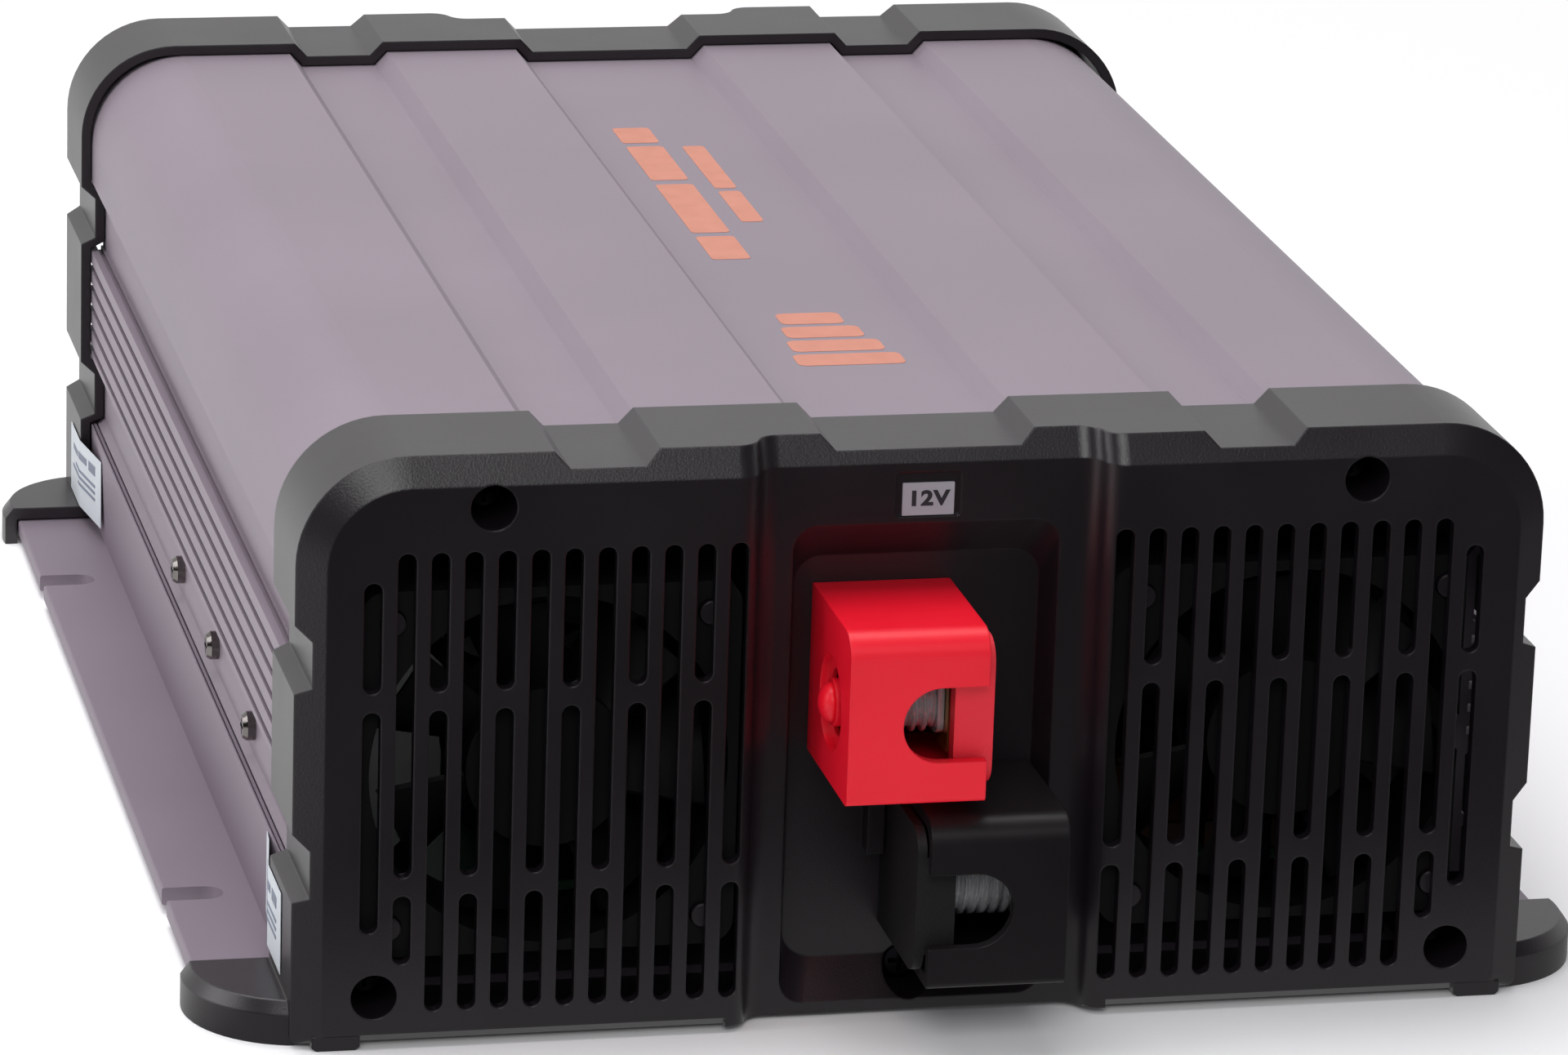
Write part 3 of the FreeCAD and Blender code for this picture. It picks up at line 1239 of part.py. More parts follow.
def switch_bezel():
    """Snap-in housing of the power switch."""
    body = rear_body("switch_bezel")
    z = size("SwitchZ")
    level = size("RecessDepth")
    rim = rectangle(-11.0, z - 15.5, 11.0, z + 15.5, 1.5)
    pad(body, "flange", "XZ", str(level - 2.0), str(level), [rim])
    box = rectangle(-9.2, z - 13.7, 9.2, z + 13.7, 0.8)
    pad(body, "housing", "XZ", str(level), str(level + 18.0), [box])
    well = rectangle(-7.4, z - 12.0, 7.4, z + 12.0, 0.6)
    pocket(body, "well", "XZ", str(level - 3.0), str(level + 11.0), [well])
    pocket(body, "pivot_bores", "YZ", "-8.6", "8.6", [pivot_bore()])
    return body


def pivot_bore():
    return circle(size("RecessDepth") + 3.0, size("SwitchZ"), 1.5 + size("RunningGap"))


def power_rocker():
    """Rocker on two trunnions, resting on its off side."""
    body = rear_body("power_rocker")
    depth = size("RecessDepth") + 3.0
    z = size("SwitchZ")
    tilt = math.radians(-size("RockerTilt"))
    profile = [
        (-5.6, -10.2, 0.6), (-4.4, 0.0), (-5.6, 10.2, 0.6), (1.0, 10.2, 1.0),
        (4.0, 3.0), (4.0, -3.0), (1.0, -10.2, 1.0),
    ]
    turned_profile = []
    for corner in profile:
        y = corner[0] * math.cos(tilt) - corner[1] * math.sin(tilt)
        up = corner[0] * math.sin(tilt) + corner[1] * math.cos(tilt)
        turned_profile.append((depth + y, z + up) + tuple(corner[2:]))
    pad(body, "rocker", "YZ", "-7.1", "7.1", [turned_profile])
    pad(body, "trunnions", "YZ", "-8.4", "8.4", [circle(depth, z, 1.5)])
    return body


def panel_details():
    """Indicator lenses and the earth stud with its washer and nut."""
    level = size("RecessDepth")
    lenses = []
    for x in (-6.0, 6.0):
        base = rear(x, level + 4.0, 79.0)
        stem = Part.makeCylinder(2.45, 4.5, base, Vector(0, 1, 0))
        tip = Part.makeCone(2.45, 1.3, 1.5, base + Vector(0, 4.5, 0), Vector(0, 1, 0))
        behind = rear(x, level + size("FaceWall") + 1.2, 79.0)
        collar = Part.makeCylinder(3.1, 1.2, behind, Vector(0, 1, 0))
        lenses.append(stem.fuse(tip).fuse(collar))
    group("indicator_lenses", lenses)
    stud_z = 20.0
    shank_length = level + size("FaceWall") + 7.5
    inner = rear(0, shank_length - 0.5, stud_z)
    shank = Part.makeCylinder(size("StudRadius") + 0.5, shank_length, inner, Vector(0, 1, 0))
    head = Part.makeCylinder(4.4, 2.8, inner, Vector(0, 1, 0))
    reach = size("StudReach") - 0.5
    thread = Part.makeCylinder(size("StudRadius"), reach, rear(0, -0.5, stud_z), Vector(0, 1, 0))
    group("earth_stud", [shank.fuse(head).fuse(thread)])
    washer_at = rear(0, level, stud_z)
    washer = Part.makeCylinder(5.8, 1.0, washer_at, Vector(0, 1, 0))
    hole = Part.makeCylinder(size("StudRadius") + 0.6, 12.0, washer_at - Vector(0, 1, 0), Vector(0, 1, 0))
    group("earth_washer", [washer.cut(hole)])
    corners = []
    for corner in range(7):
        turn = math.radians(60 * corner)
        corners.append(washer_at + Vector(5.2 * math.cos(turn), 1.0, 5.2 * math.sin(turn)))
    nut = Part.Face(Part.makePolygon(corners)).extrude(Vector(0, 4.0, 0))
    group("earth_nut", [nut.cut(hole)])


# ---------------------------------------------------------------- fasteners

def fasteners():
    """Cap screws front and rear, side screws and fan screws, each kind in one node."""
    front = []
    back = []
    for x, z, seat in screw_places():
        front.append(screw(3.3, 2.6, 1.6, 18.0, (x, seat, z), (0, -1, 0)))
        back.append(screw(3.3, 2.6, 1.6, 18.0, (x, size("CapSpan") - seat, z), (0, 1, 0)))
    group("front_cap_screws", front)
    group("rear_cap_screws", back)
    sides = []
    for side in (-1, 1):
        for index in range(3):
            y = size("SideScrewFirst") + index * size("SideScrewPitch")
            sides.append(screw(3.4, 2.1, 1.6, 7.5, (side * channel_x, y, size("SideScrewZ")), (side, 0, 0)))
    group("side_screws", sides)
    depth = fan_front + size("FanDepth")
    fan = [screw(3.2, 2.0, 1.0, size("FanDepth") - 5.0, (x, depth, z), (0, 1, 0)) for x, z in fan_places()]
    group("fan_screws", fan)


# ---------------------------------------------------------------- assembly

top_shell()
base_tray()
front_cap()
rear_cap()
for polarity in (1, -1):
    terminal_cover(polarity)
    terminal_body(polarity)
    clamp_cage(polarity)
    clamp_screw(polarity)
    clamp_head(polarity)
    clamp_saddle(polarity)
    bus_bar(polarity)
for fan_side in (-1, 1):
    fan_frame(fan_side)
    fan_impeller(fan_side)
main_board()
board_fixings()
heat_sinks()
transistors()
transformers()
capacitors()
output_choke()
control_board()
fuses()
ac_socket("ac_socket_upper", size("UpperOutletZ"))
ac_socket("ac_socket_lower", size("LowerOutletZ"))
socket_contacts()
switch_bezel()
power_rocker()
panel_details()
fasteners()
doc.recompute()

faults = []
for item in doc.Objects:
    if "Invalid" in item.State or "Error" in item.State:
        faults.append(f"{item.Name} ({item.Label}): {item.State}")
for item in parts:
    if item.Shape.isNull() or not item.Shape.isValid():
        faults.append(f"{item.Label}: shape is null or invalid")
if faults:
    raise RuntimeError("; ".join(faults))

os.makedirs("parts", exist_ok=True)
for item in parts:
    item.Shape.exportStep(f"parts/{item.Label}.step")
    print(item.Label, len(item.Shape.Solids), "solids", round(item.Shape.Volume), "mm3")
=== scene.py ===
import math

import bmesh
import bpy
from mathutils import Matrix, Vector


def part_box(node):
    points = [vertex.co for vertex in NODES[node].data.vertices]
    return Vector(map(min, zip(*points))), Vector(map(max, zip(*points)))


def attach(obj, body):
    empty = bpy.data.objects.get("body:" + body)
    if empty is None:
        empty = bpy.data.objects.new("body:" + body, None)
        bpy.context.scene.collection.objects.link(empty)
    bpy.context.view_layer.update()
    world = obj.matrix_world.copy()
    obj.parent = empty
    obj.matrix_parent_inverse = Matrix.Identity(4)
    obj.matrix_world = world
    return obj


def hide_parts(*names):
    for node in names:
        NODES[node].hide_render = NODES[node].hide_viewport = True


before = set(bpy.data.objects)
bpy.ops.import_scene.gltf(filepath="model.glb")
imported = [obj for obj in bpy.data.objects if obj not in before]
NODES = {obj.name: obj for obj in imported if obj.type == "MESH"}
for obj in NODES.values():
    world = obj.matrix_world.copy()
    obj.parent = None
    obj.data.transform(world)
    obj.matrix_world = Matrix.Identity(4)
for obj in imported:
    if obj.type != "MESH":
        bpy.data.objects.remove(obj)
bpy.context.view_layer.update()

MM = 0.001
# Row-frame Y of the front cap's face, and height of the shell's middle strip, in millimetres.
FACE = -143.3
CENTRE_STRIP = 91.7


def point(x, depth, z):
    """Row-frame point, in metres, from millimetres and a depth behind the front face."""
    return Vector((x * MM, (depth + FACE) * MM, z * MM))


def linear(r, g, b):
    """Linear colour from sRGB numbers of 0 to 255."""
    out = []
    for channel in (r, g, b):
        c = channel / 255
        out.append(c / 12.92 if c <= 0.04045 else ((c + 0.055) / 1.055) ** 2.4)
    return (*out, 1.0)


# ------------------------------------------------------------------ materials

COAT_ROUGHNESS = 0.1


def shader_base(name, metallic, specular, coat):
    """New material with a Principled shader."""
    mat = bpy.data.materials.new(name)
    mat.use_nodes = True
    nodes, links = mat.node_tree.nodes, mat.node_tree.links
    nodes.clear()
    out = nodes.new("ShaderNodeOutputMaterial")
    bsdf = nodes.new("ShaderNodeBsdfPrincipled")
    links.new(bsdf.outputs["BSDF"], out.inputs["Surface"])
    bsdf.inputs["Metallic"].default_value = metallic
    bsdf.inputs["Specular IOR Level"].default_value = specular
    bsdf.inputs["Coat Weight"].default_value = coat
    bsdf.inputs["Coat Roughness"].default_value = COAT_ROUGHNESS
    return mat, nodes, links, bsdf


def object_coords(nodes, links, stretch=(1, 1, 1)):
    """Object coordinates, scaled along each axis."""
    coords = nodes.new("ShaderNodeTexCoord")
    mapping = nodes.new("ShaderNodeMapping")
    mapping.inputs["Scale"].default_value = stretch
    links.new(coords.outputs["Object"], mapping.inputs["Vector"])
    return mapping.outputs["Vector"]


def noise(nodes, links, vector, scale, detail, rough=0.55):
    """Noise of 0 to 1."""
    node = nodes.new("ShaderNodeTexNoise")
    node.inputs["Scale"].default_value = scale
    node.inputs["Detail"].default_value = detail
    node.inputs["Roughness"].default_value = rough
    links.new(vector, node.inputs["Vector"])
    return node.outputs["Fac"]


def ramp(nodes, links, value, low, high, start=0.3, end=0.7):
    """Colour that goes from low to high."""
    node = nodes.new("ShaderNodeValToRGB")
    node.color_ramp.elements[0].position = start
    node.color_ramp.elements[1].position = end
    node.color_ramp.elements[0].color = low
    node.color_ramp.elements[1].color = high
    links.new(value, node.inputs["Fac"])
    return node.outputs["Color"]


def scaled(nodes, links, value, low, high):
    """Value of 0 to 1 brought to low to high."""
    node = nodes.new("ShaderNodeMapRange")
    node.inputs["To Min"].default_value = low
    node.inputs["To Max"].default_value = high
    links.new(value, node.inputs["Value"])
    return node.outputs["Result"]


def soft_edges(nodes, radius):
    """Normal that is rounded over edges, as a moulded or broken edge is."""
    node = nodes.new("ShaderNodeBevel")
    node.samples = 4
    node.inputs["Radius"].default_value = radius
    return node.outputs["Normal"]


def bump(nodes, links, height, strength, distance, below=None):
    """Normal that follows a height, over another normal where one is given."""
    node = nodes.new("ShaderNodeBump")
    node.inputs["Strength"].default_value = strength
    node.inputs["Distance"].default_value = distance
    links.new(height, node.inputs["Height"])
    if below is not None:
        links.new(below, node.inputs["Normal"])
    return node.outputs["Normal"]


def surface(name, low, high, rough, grain, depth, strength=0.4, spread=0.05, metallic=0.0,
            specular=0.5, coat=0.0, stretch=(1, 1, 1), blotch=40.0, edge=0.0):
    """Two-tone surface with uneven gloss and a fine raised grain.

    grain and blotch are noise scales, depth and edge are in metres, and spread is how far the roughness wanders.
    """
    mat, nodes, links, bsdf = shader_base(name, metallic, specular, coat)
    vector = object_coords(nodes, links, stretch)
    wide = noise(nodes, links, object_coords(nodes, links), blotch, 4.0)
    links.new(ramp(nodes, links, wide, low, high), bsdf.inputs["Base Color"])
    links.new(scaled(nodes, links, wide, rough - spread, rough + spread), bsdf.inputs["Roughness"])
    fine = noise(nodes, links, vector, grain, 2.0, 0.6)
    below = soft_edges(nodes, edge) if edge else None
    links.new(bump(nodes, links, fine, strength, depth, below), bsdf.inputs["Normal"])
    return mat


MOULDING = surface("moulding", linear(24, 19, 23), linear(29, 24, 28), 0.35, 2600, 0.00006, 0.5,
                   specular=0.6, edge=0.0005)
ALUMINIUM = surface("aluminium", linear(140, 129, 139), linear(146, 135, 145), 0.5, 3200, 0.00004, 0.35,
                    metallic=0.35, stretch=(1, 0.25, 1), blotch=14, specular=0.35)
ALUMINIUM_TRAY = surface("aluminium_tray", linear(130, 119, 130), linear(137, 126, 137), 0.52, 3200, 0.00004,
                         0.35, metallic=0.35, stretch=(1, 0.25, 1), blotch=14, specular=0.3)
RED = surface("red_cover", linear(222, 12, 36), linear(230, 18, 42), 0.36, 2600, 0.00003, 0.3, specular=0.45,
              edge=0.0004)
RED_ROUGH = surface("red_carrier", linear(208, 16, 38), linear(220, 26, 46), 0.6, 2400, 0.00012, 0.9)
BLACK = surface("black_cover", linear(20, 17, 19), linear(25, 22, 24), 0.38, 2600, 0.00003, 0.3, specular=0.35,
                edge=0.0004)
BLACK_ROUGH = surface("black_carrier", linear(18, 16, 18), linear(26, 23, 26), 0.6, 2400, 0.00012, 0.9)
STEEL = surface("steel", linear(150, 150, 152), linear(186, 186, 188), 0.3, 1500, 0.00004, 0.3, metallic=1.0)
# Painted highlight: the clamp screws' and saddles' steel is near white, brighter than the other steel, to stand in
# for light that catches the threads inside the covers' holes.
HIGHLIGHT_PAINTED_STEEL = surface("thread_steel_painted_highlight", linear(232, 234, 238), linear(246, 248, 250), 0.2, 1500, 0.00003, 0.25,
                       metallic=0.75)
DARK_SCREW = surface("dark_screw", linear(26, 24, 28), linear(42, 40, 44), 0.36, 1500, 0.00004, 0.3,
                     metallic=1.0)
SIDE_SCREW = surface("side_screw", linear(70, 66, 66), linear(150, 146, 142), 0.16, 1500, 0.00006, 0.4,
                     metallic=1.0)
BRASS = surface("brass", linear(176, 138, 72), linear(206, 168, 98), 0.34, 1500, 0.00003, 0.3, metallic=1.0)
COPPER = surface("copper", linear(74, 42, 30), linear(90, 54, 40), 0.36, 1200, 0.00003, 0.3, metallic=1.0)
FAN = surface("fan_plastic", linear(9, 8, 10), linear(14, 13, 15), 0.6, 1800, 0.00003, 0.3, specular=0.2)
BOARD = surface("board", linear(18, 74, 46), linear(30, 96, 60), 0.42, 900, 0.00003, 0.3)
FERRITE = surface("ferrite", linear(44, 44, 46), linear(60, 60, 62), 0.65, 900, 0.0001, 0.5)
WIRE = surface("enamelled_wire", linear(78, 44, 28), linear(98, 58, 36), 0.35, 1200, 0.0003, 0.6,
               metallic=0.6, stretch=(0.1, 0.1, 1))
SLEEVE = surface("sleeve", linear(20, 24, 44), linear(30, 34, 58), 0.32, 900, 0.00003, 0.3)
SINK = surface("sink", linear(178, 178, 180), linear(194, 194, 196), 0.4, 1500, 0.00003, 0.3, metallic=0.9)
RESIN = surface("resin", linear(30, 30, 32), linear(40, 40, 42), 0.55, 1500, 0.00005, 0.4)
FUSE = surface("fuse", linear(64, 36, 12), linear(76, 44, 16), 0.3, 900, 0.00003, 0.3)
SOCKET = surface("socket", linear(30, 29, 31), linear(38, 37, 39), 0.34, 2200, 0.00003, 0.3)
LENS_GREEN = surface("lens", linear(24, 140, 60), linear(46, 176, 82), 0.16, 900, 0.00002, 0.2, coat=0.6)
PRINT = surface("orange_print", linear(190, 122, 101), linear(199, 131, 110), 0.55, 2600, 0.00004, 0.5,
                blotch=260)
BADGE = surface("badge", linear(158, 156, 164), linear(168, 166, 174), 0.42, 1800, 0.00003, 0.25, metallic=0.3)
BADGE_INK = surface("badge_ink", linear(34, 34, 40), linear(44, 44, 50), 0.5, 900, 0.00003, 0.2)
PAPER = surface("paper", linear(196, 202, 206), linear(208, 214, 218), 0.6, 1600, 0.00004, 0.3)
INK = surface("ink", linear(112, 118, 134), linear(130, 136, 150), 0.6, 900, 0.00003, 0.2)

FINISHES = {
    "top_shell": ALUMINIUM, "base_tray": ALUMINIUM_TRAY, "front_cap": MOULDING, "rear_cap": MOULDING,
    "positive_cover": RED, "positive_screw_head": RED, "positive_carrier": RED_ROUGH,
    "negative_cover": BLACK, "negative_screw_head": BLACK, "negative_carrier": BLACK_ROUGH,
    "positive_clamp_cage": BRASS, "negative_clamp_cage": BRASS,
    "positive_clamp_screw": HIGHLIGHT_PAINTED_STEEL, "negative_clamp_screw": HIGHLIGHT_PAINTED_STEEL,
    "positive_clamp_saddle": HIGHLIGHT_PAINTED_STEEL, "negative_clamp_saddle": HIGHLIGHT_PAINTED_STEEL,
    "positive_bus_bar": COPPER, "negative_bus_bar": COPPER,
    "fan_frame_left": FAN, "fan_frame_right": FAN, "fan_impeller_left": FAN, "fan_impeller_right": FAN,
    "main_board": BOARD, "control_board": BOARD, "board_standoffs": BRASS, "board_screws": STEEL,
    "heat_sink_left": SINK, "heat_sink_right": SINK, "power_transistors": RESIN,
    "transformer_cores": FERRITE, "transformer_windings": WIRE, "output_choke": WIRE,
    "input_capacitors": SLEEVE, "output_capacitors": SLEEVE, "blade_fuses": FUSE,
    "ac_socket_upper": SOCKET, "ac_socket_lower": SOCKET, "socket_contacts": BRASS,
    "switch_bezel": SOCKET, "power_rocker": SOCKET, "indicator_lenses": LENS_GREEN,
    "earth_stud": STEEL, "earth_washer": STEEL, "earth_nut": STEEL,
    "front_cap_screws": DARK_SCREW, "rear_cap_screws": DARK_SCREW, "side_screws": SIDE_SCREW, "fan_screws": STEEL,
}
for node_name, node in NODES.items():
    material = FINISHES[node_name]
    if not node.material_slots:
        node.data.materials.append(material)
    for slot in node.material_slots:
        slot.material = material


# ------------------------------------------------------------------ mesh helpers

def linked(name, data):
    """Object for some data, in the scene."""
    obj = bpy.data.objects.new(name, data)
    bpy.context.scene.collection.objects.link(obj)
    return obj


def mesh_object(name, vertices, faces, material, smooth=False):
    """Object from vertices in metres and faces."""
    data = bpy.data.meshes.new(name)
    data.from_pydata([tuple(v) for v in vertices], [], faces)
    data.validate()
    data.update()
    obj = linked(name, data)
    data.materials.append(material)
    if smooth:
        for polygon in data.polygons:
            polygon.use_smooth = True
    return obj


def prism(outline, base, height, axes):
    """Closed prism over an outline of (u, v) in millimetres, raised along the third axis."""
    u_axis, v_axis, w_axis = axes
    count = len(outline)
    vertices = []
    for level in (0.0, height):
        for u, v in outline:
            vertices.append(base + (u_axis * u + v_axis * v + w_axis * level) * MM)
    faces = [tuple(range(count - 1, -1, -1)), tuple(range(count, 2 * count))]
    for index in range(count):
        following = (index + 1) % count
        faces.append((index, following, following + count, index + count))
    return vertices, faces


def rounded_rectangle(u0, v0, u1, v1, radius, steps):
    """Outline of (u, v) in millimetres, with so many steps in each corner."""
    corners = ((u1 - radius, v1 - radius, 0), (u0 + radius, v1 - radius, 90),
               (u0 + radius, v0 + radius, 180), (u1 - radius, v0 + radius, 270))
    outline = []
    for cu, cv, start in corners:
        for corner_step in range(steps + 1):
            turn = math.radians(start + 90 * corner_step / steps)
            outline.append((cu + radius * math.cos(turn), cv + radius * math.sin(turn)))
    return outline


def prisms(name, outlines, base, height, axes, material):
    """One object made of several prisms on the same plane."""
    vertices, faces = [], []
    for outline in outlines:
        more_vertices, more_faces = prism(outline, base, height, axes)
        offset = len(vertices)
        vertices += more_vertices
        faces += [tuple(index + offset for index in face) for face in more_faces]
    return mesh_object(name, vertices, faces, material)


X, Y, Z = Vector((1, 0, 0)), Vector((0, 1, 0)), Vector((0, 0, 1))


def tube_faces(rows, around):
    """Quads between rings of vertices, row after row."""
    faces = []
    for row in range(rows):
        for turn in range(around):
            a = row * around + turn
            b = row * around + (turn + 1) % around
            faces.append((a, b, b + around, a + around))
    return faces


def node_mesh(node):
    """Copy of a CAD node's mesh, in the row frame."""
    data = NODES[node].data.copy()
    data.transform(NODES[node].matrix_world)
    return data


def stand_in(name, data, node, body, material):
    """Shows this mesh on a body in the node's place."""
    copy = linked(name, data)
    data.materials.clear()
    data.materials.append(material)
    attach(copy, body)
    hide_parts(node)


# ------------------------------------------------------------------ clamp screw threads

# In millimetres. The pitch is the one that the clamps' joints turn by.
THREAD_DEPTH = 0.85
THREAD_PITCH = 1.75
# Rings of vertices in one pitch, and vertices in one ring.
ROWS_PER_PITCH, AROUND = 12, 56
# Lengths over which the thread fades in at its low X end and out at its high X end.
FADE_IN, FADE_OUT = 1.2, 0.6


def thread(name, node, body, direction, material):
    """Helical thread over the clamp screw's length, on the same axis as its node."""
    low, high = [Vector(corner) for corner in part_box(node)]
    centre = (low + high) / 2
    length = (high.x - low.x) / MM
    outer = (high.z - low.z) / 2 / MM
    root = outer - THREAD_DEPTH
    rows = int(length / THREAD_PITCH * ROWS_PER_PITCH)
    vertices = []
    for row in range(rows + 1):
        along_axis = length * row / rows
        for turn in range(AROUND):
            angle = 2 * math.pi * turn / AROUND
            phase = (along_axis / THREAD_PITCH - direction * turn / AROUND) % 1.0
            # 0 in the groove and 1 on the crest, with flats on both.
            crest = min(1.0, max(0.0, 2.2 * (1 - abs(2 * phase - 1)) - 0.5))
            taper = min(1.0, along_axis / FADE_IN, (length - along_axis) / FADE_OUT)
            radius = root + (outer - root) * crest * taper
            vertices.append(Vector((low.x + along_axis * MM, centre.y + radius * MM * math.cos(angle),
                                    centre.z + radius * MM * math.sin(angle))))
    faces = tube_faces(rows, AROUND)
    faces.append(tuple(range(AROUND)))
    faces.append(tuple(range(rows * AROUND + AROUND - 1, rows * AROUND - 1, -1)))
    screw = mesh_object(name, vertices, faces, material, smooth=True)
    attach(screw, body)
    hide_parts(node)


thread("positive_thread", "positive_clamp_screw", "positive_screw", 1, HIGHLIGHT_PAINTED_STEEL)
thread("negative_thread", "negative_clamp_screw", "negative_screw", -1, HIGHLIGHT_PAINTED_STEEL)

# ------------------------------------------------------------------ fan frame

# X, in metres, at which the right fan's frame ends, so that light shows past it through the outermost slots.
FRAME_END = 0.08795
# Vertices closer than this, in metres, are joined before the cut.
WELD = 1e-7


def trimmed(name, node, body, plane_x, material):
    """Copy of a node with a flat side in place of what lies beyond a plane across the width."""
    data = node_mesh(node)
    mesh = bmesh.new()
    mesh.from_mesh(data)
    bmesh.ops.remove_doubles(mesh, verts=mesh.verts, dist=WELD)
    everything = mesh.verts[:] + mesh.edges[:] + mesh.faces[:]
    cut = bmesh.ops.bisect_plane(mesh, geom=everything, plane_co=(plane_x, 0, 0), plane_no=(1, 0, 0),
                                 clear_outer=True)
    rim = [item for item in cut["geom_cut"] if isinstance(item, bmesh.types.BMEdge)]
    bmesh.ops.holes_fill(mesh, edges=rim)
    bmesh.ops.recalc_face_normals(mesh, faces=mesh.faces)
    mesh.to_mesh(data)
    mesh.free()
    stand_in(name, data, node, body, material)


trimmed("fan_frame_trimmed", "fan_frame_right", "inverter", FRAME_END, FAN)

# ------------------------------------------------------------------ small side screws and the clamp's domed cap

# Depths and height of the side screws' axes, and their drawn size as a share of the node's.
SCREW_DEPTHS = (74.0, 116.5, 159.0)
SCREW_HEIGHT = 28.9
SCREW_SHARE = 0.72


def slimmer_screws(name, node, body, material):
    """Copy of the side screws, drawn in towards each screw's own axis."""
    data = node_mesh(node)
    for vertex in data.vertices:
        axis_y = min(((FACE + depth) * MM for depth in SCREW_DEPTHS), key=lambda y: abs(y - vertex.co.y))
        axis_z = SCREW_HEIGHT * MM
        vertex.co.y = axis_y + (vertex.co.y - axis_y) * SCREW_SHARE
        vertex.co.z = axis_z + (vertex.co.z - axis_z) * SCREW_SHARE
    stand_in(name, data, node, body, material)


def domed_cap(name, node, body, radius, rise, material):
    """Rounded boss in the middle of a screw head, towards the left."""
    low, high = [Vector(corner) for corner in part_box(node)]
    centre = Vector((low.x, (low.y + high.y) / 2, (low.z + high.z) / 2))
    around, rings = 32, 7
    vertices = []
    for ring in range(rings):
        angle = math.pi / 2 * ring / (rings - 1)
        reach = radius * math.cos(angle) * MM
        out = rise * math.sin(angle) * MM
        for turn in range(around):
            sweep = 2 * math.pi * turn / around
            vertices.append(centre + Vector((-out, reach * math.cos(sweep), reach * math.sin(sweep))))
    faces = tube_faces(rings - 1, around)
    faces.append(tuple(reversed(range(around))))
    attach(mesh_object(name, vertices, faces, material, smooth=True), body)


slimmer_screws("side_screws_slim", "side_screws", "inverter", SIDE_SCREW)
domed_cap("positive_screw_boss", "positive_screw_head", "positive_screw", 3.2, 2.2, RED)

# ------------------------------------------------------------------ print and badge

# Generic bars on the middle strip, in millimetres: first depth, length, and lowest and highest X.
WORD_BARS = (
    (126.0, 15.0, -9.6, -2.8), (143.5, 33.0, -9.6, -2.8), (179.5, 24.0, -9.6, -2.8), (206.0, 11.0, -9.6, -2.8),
    (150.0, 21.0, 0.6, 4.6), (173.0, 30.0, 0.6, 4.6),
)
PRINT_RISE = 0.06
bars = [rounded_rectangle(low, start, high, start + length, 0.9, 3) for start, length, low, high in WORD_BARS]
# Four bars that narrow towards the rear.
for index in range(4):
    bars.append(rounded_rectangle(-8.8 + 0.8 * index, 60.0 + 8.2 * index,
                                  9.2 - 1.6 * index, 66.6 + 8.2 * index, 1.4, 3))
strip = point(0, 0, CENTRE_STRIP)
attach(prisms("top_print", bars, strip, PRINT_RISE, (X, Y, Z), PRINT), "inverter")

# Rating plate on the sunk panel: its corners in (X, Z), the depth of its back and its thickness.
BADGE_LOW, BADGE_HIGH = (-4.2, 83.1), (4.1, 88.4)
BADGE_BACK, BADGE_THICKNESS = 5.35, 0.35
badge = rounded_rectangle(*BADGE_LOW, *BADGE_HIGH, 0.15, 2)
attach(prisms("rating_badge", [badge], point(0, BADGE_BACK, 0), BADGE_THICKNESS, (X, Z, -Y), BADGE), "inverter")

# Lettering in millimetres, with its stretch across the width and the space between its letters.
TEXT_SIZE, TEXT_RISE, TEXT_WEIGHT = 3.3, 0.03, 0.14
TEXT_STRETCH, TEXT_SPACING = 1.18, 1.08


def lettering(name, text, centre, material):
    """Raised generic lettering that faces the front."""
    curve = bpy.data.curves.new(name, "FONT")
    curve.body = text
    curve.size = TEXT_SIZE * MM
    curve.align_x = "CENTER"
    curve.align_y = "CENTER"
    curve.extrude = TEXT_RISE * MM
    curve.offset = TEXT_WEIGHT * MM
    curve.space_character = TEXT_SPACING
    obj = linked(name, curve)
    curve.materials.append(material)
    upright_turn = Matrix.Rotation(math.radians(90), 4, "X")
    widened = Matrix.Diagonal((TEXT_STRETCH, 1.0, 1.0, 1.0))
    obj.matrix_world = Matrix.Translation(centre) @ upright_turn @ widened
    return obj


badge_middle = point((BADGE_LOW[0] + BADGE_HIGH[0]) / 2, BADGE_BACK - BADGE_THICKNESS,
                     (BADGE_LOW[1] + BADGE_HIGH[1]) / 2)
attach(lettering("rating_text", "12V", badge_middle, BADGE_INK), "inverter")

# ------------------------------------------------------------------ seals

# Each seal runs along the tray wall and over the step onto a cap's collar: its line of (x, depth) in plan, and
# its lowest and highest Z.
SEALS = {
    "near": ([(-100.1, 12.0), (-100.1, 25.5), (-98.3, 37.0), (-98.0, 41.0)], 8.8, 22.3),
    "far": ([(-98.0, 253.0), (-98.3, 255.0), (-100.15, 267.8), (-100.15, 280.5)], 7.3, 20.2),
}
# Parts of a seal as shares of its length and height: first, last, bottom, top.
WHOLE_SEAL = [(0.0, 1.0, 0.0, 1.0)]
SEAL_BARS = [
    (0.14, 0.30, 0.70, 0.84), (0.36, 0.58, 0.72, 0.82), (0.64, 0.84, 0.70, 0.78),
    (0.14, 0.72, 0.52, 0.56), (0.14, 0.86, 0.42, 0.46), (0.14, 0.60, 0.32, 0.36),
]
# Room between a seal and the wall, thickness of the paper and its print, and how far the print lies over the paper.
SEAL_ROOM, SEAL_THICKNESS, PRINT_LIFT = 0.02, 0.1, 0.1


def place_along(line, run, share):
    """Plan place at a share of the line's length; run holds the length up to each of its points."""
    want = share * run[-1]
    for index in range(len(line) - 1):
        if want <= run[index + 1] + 1e-9:
            part = (want - run[index]) / (run[index + 1] - run[index])
            (x0, d0), (x1, d1) = line[index], line[index + 1]
            return x0 + part * (x1 - x0), d0 + part * (d1 - d0)
    return line[-1]


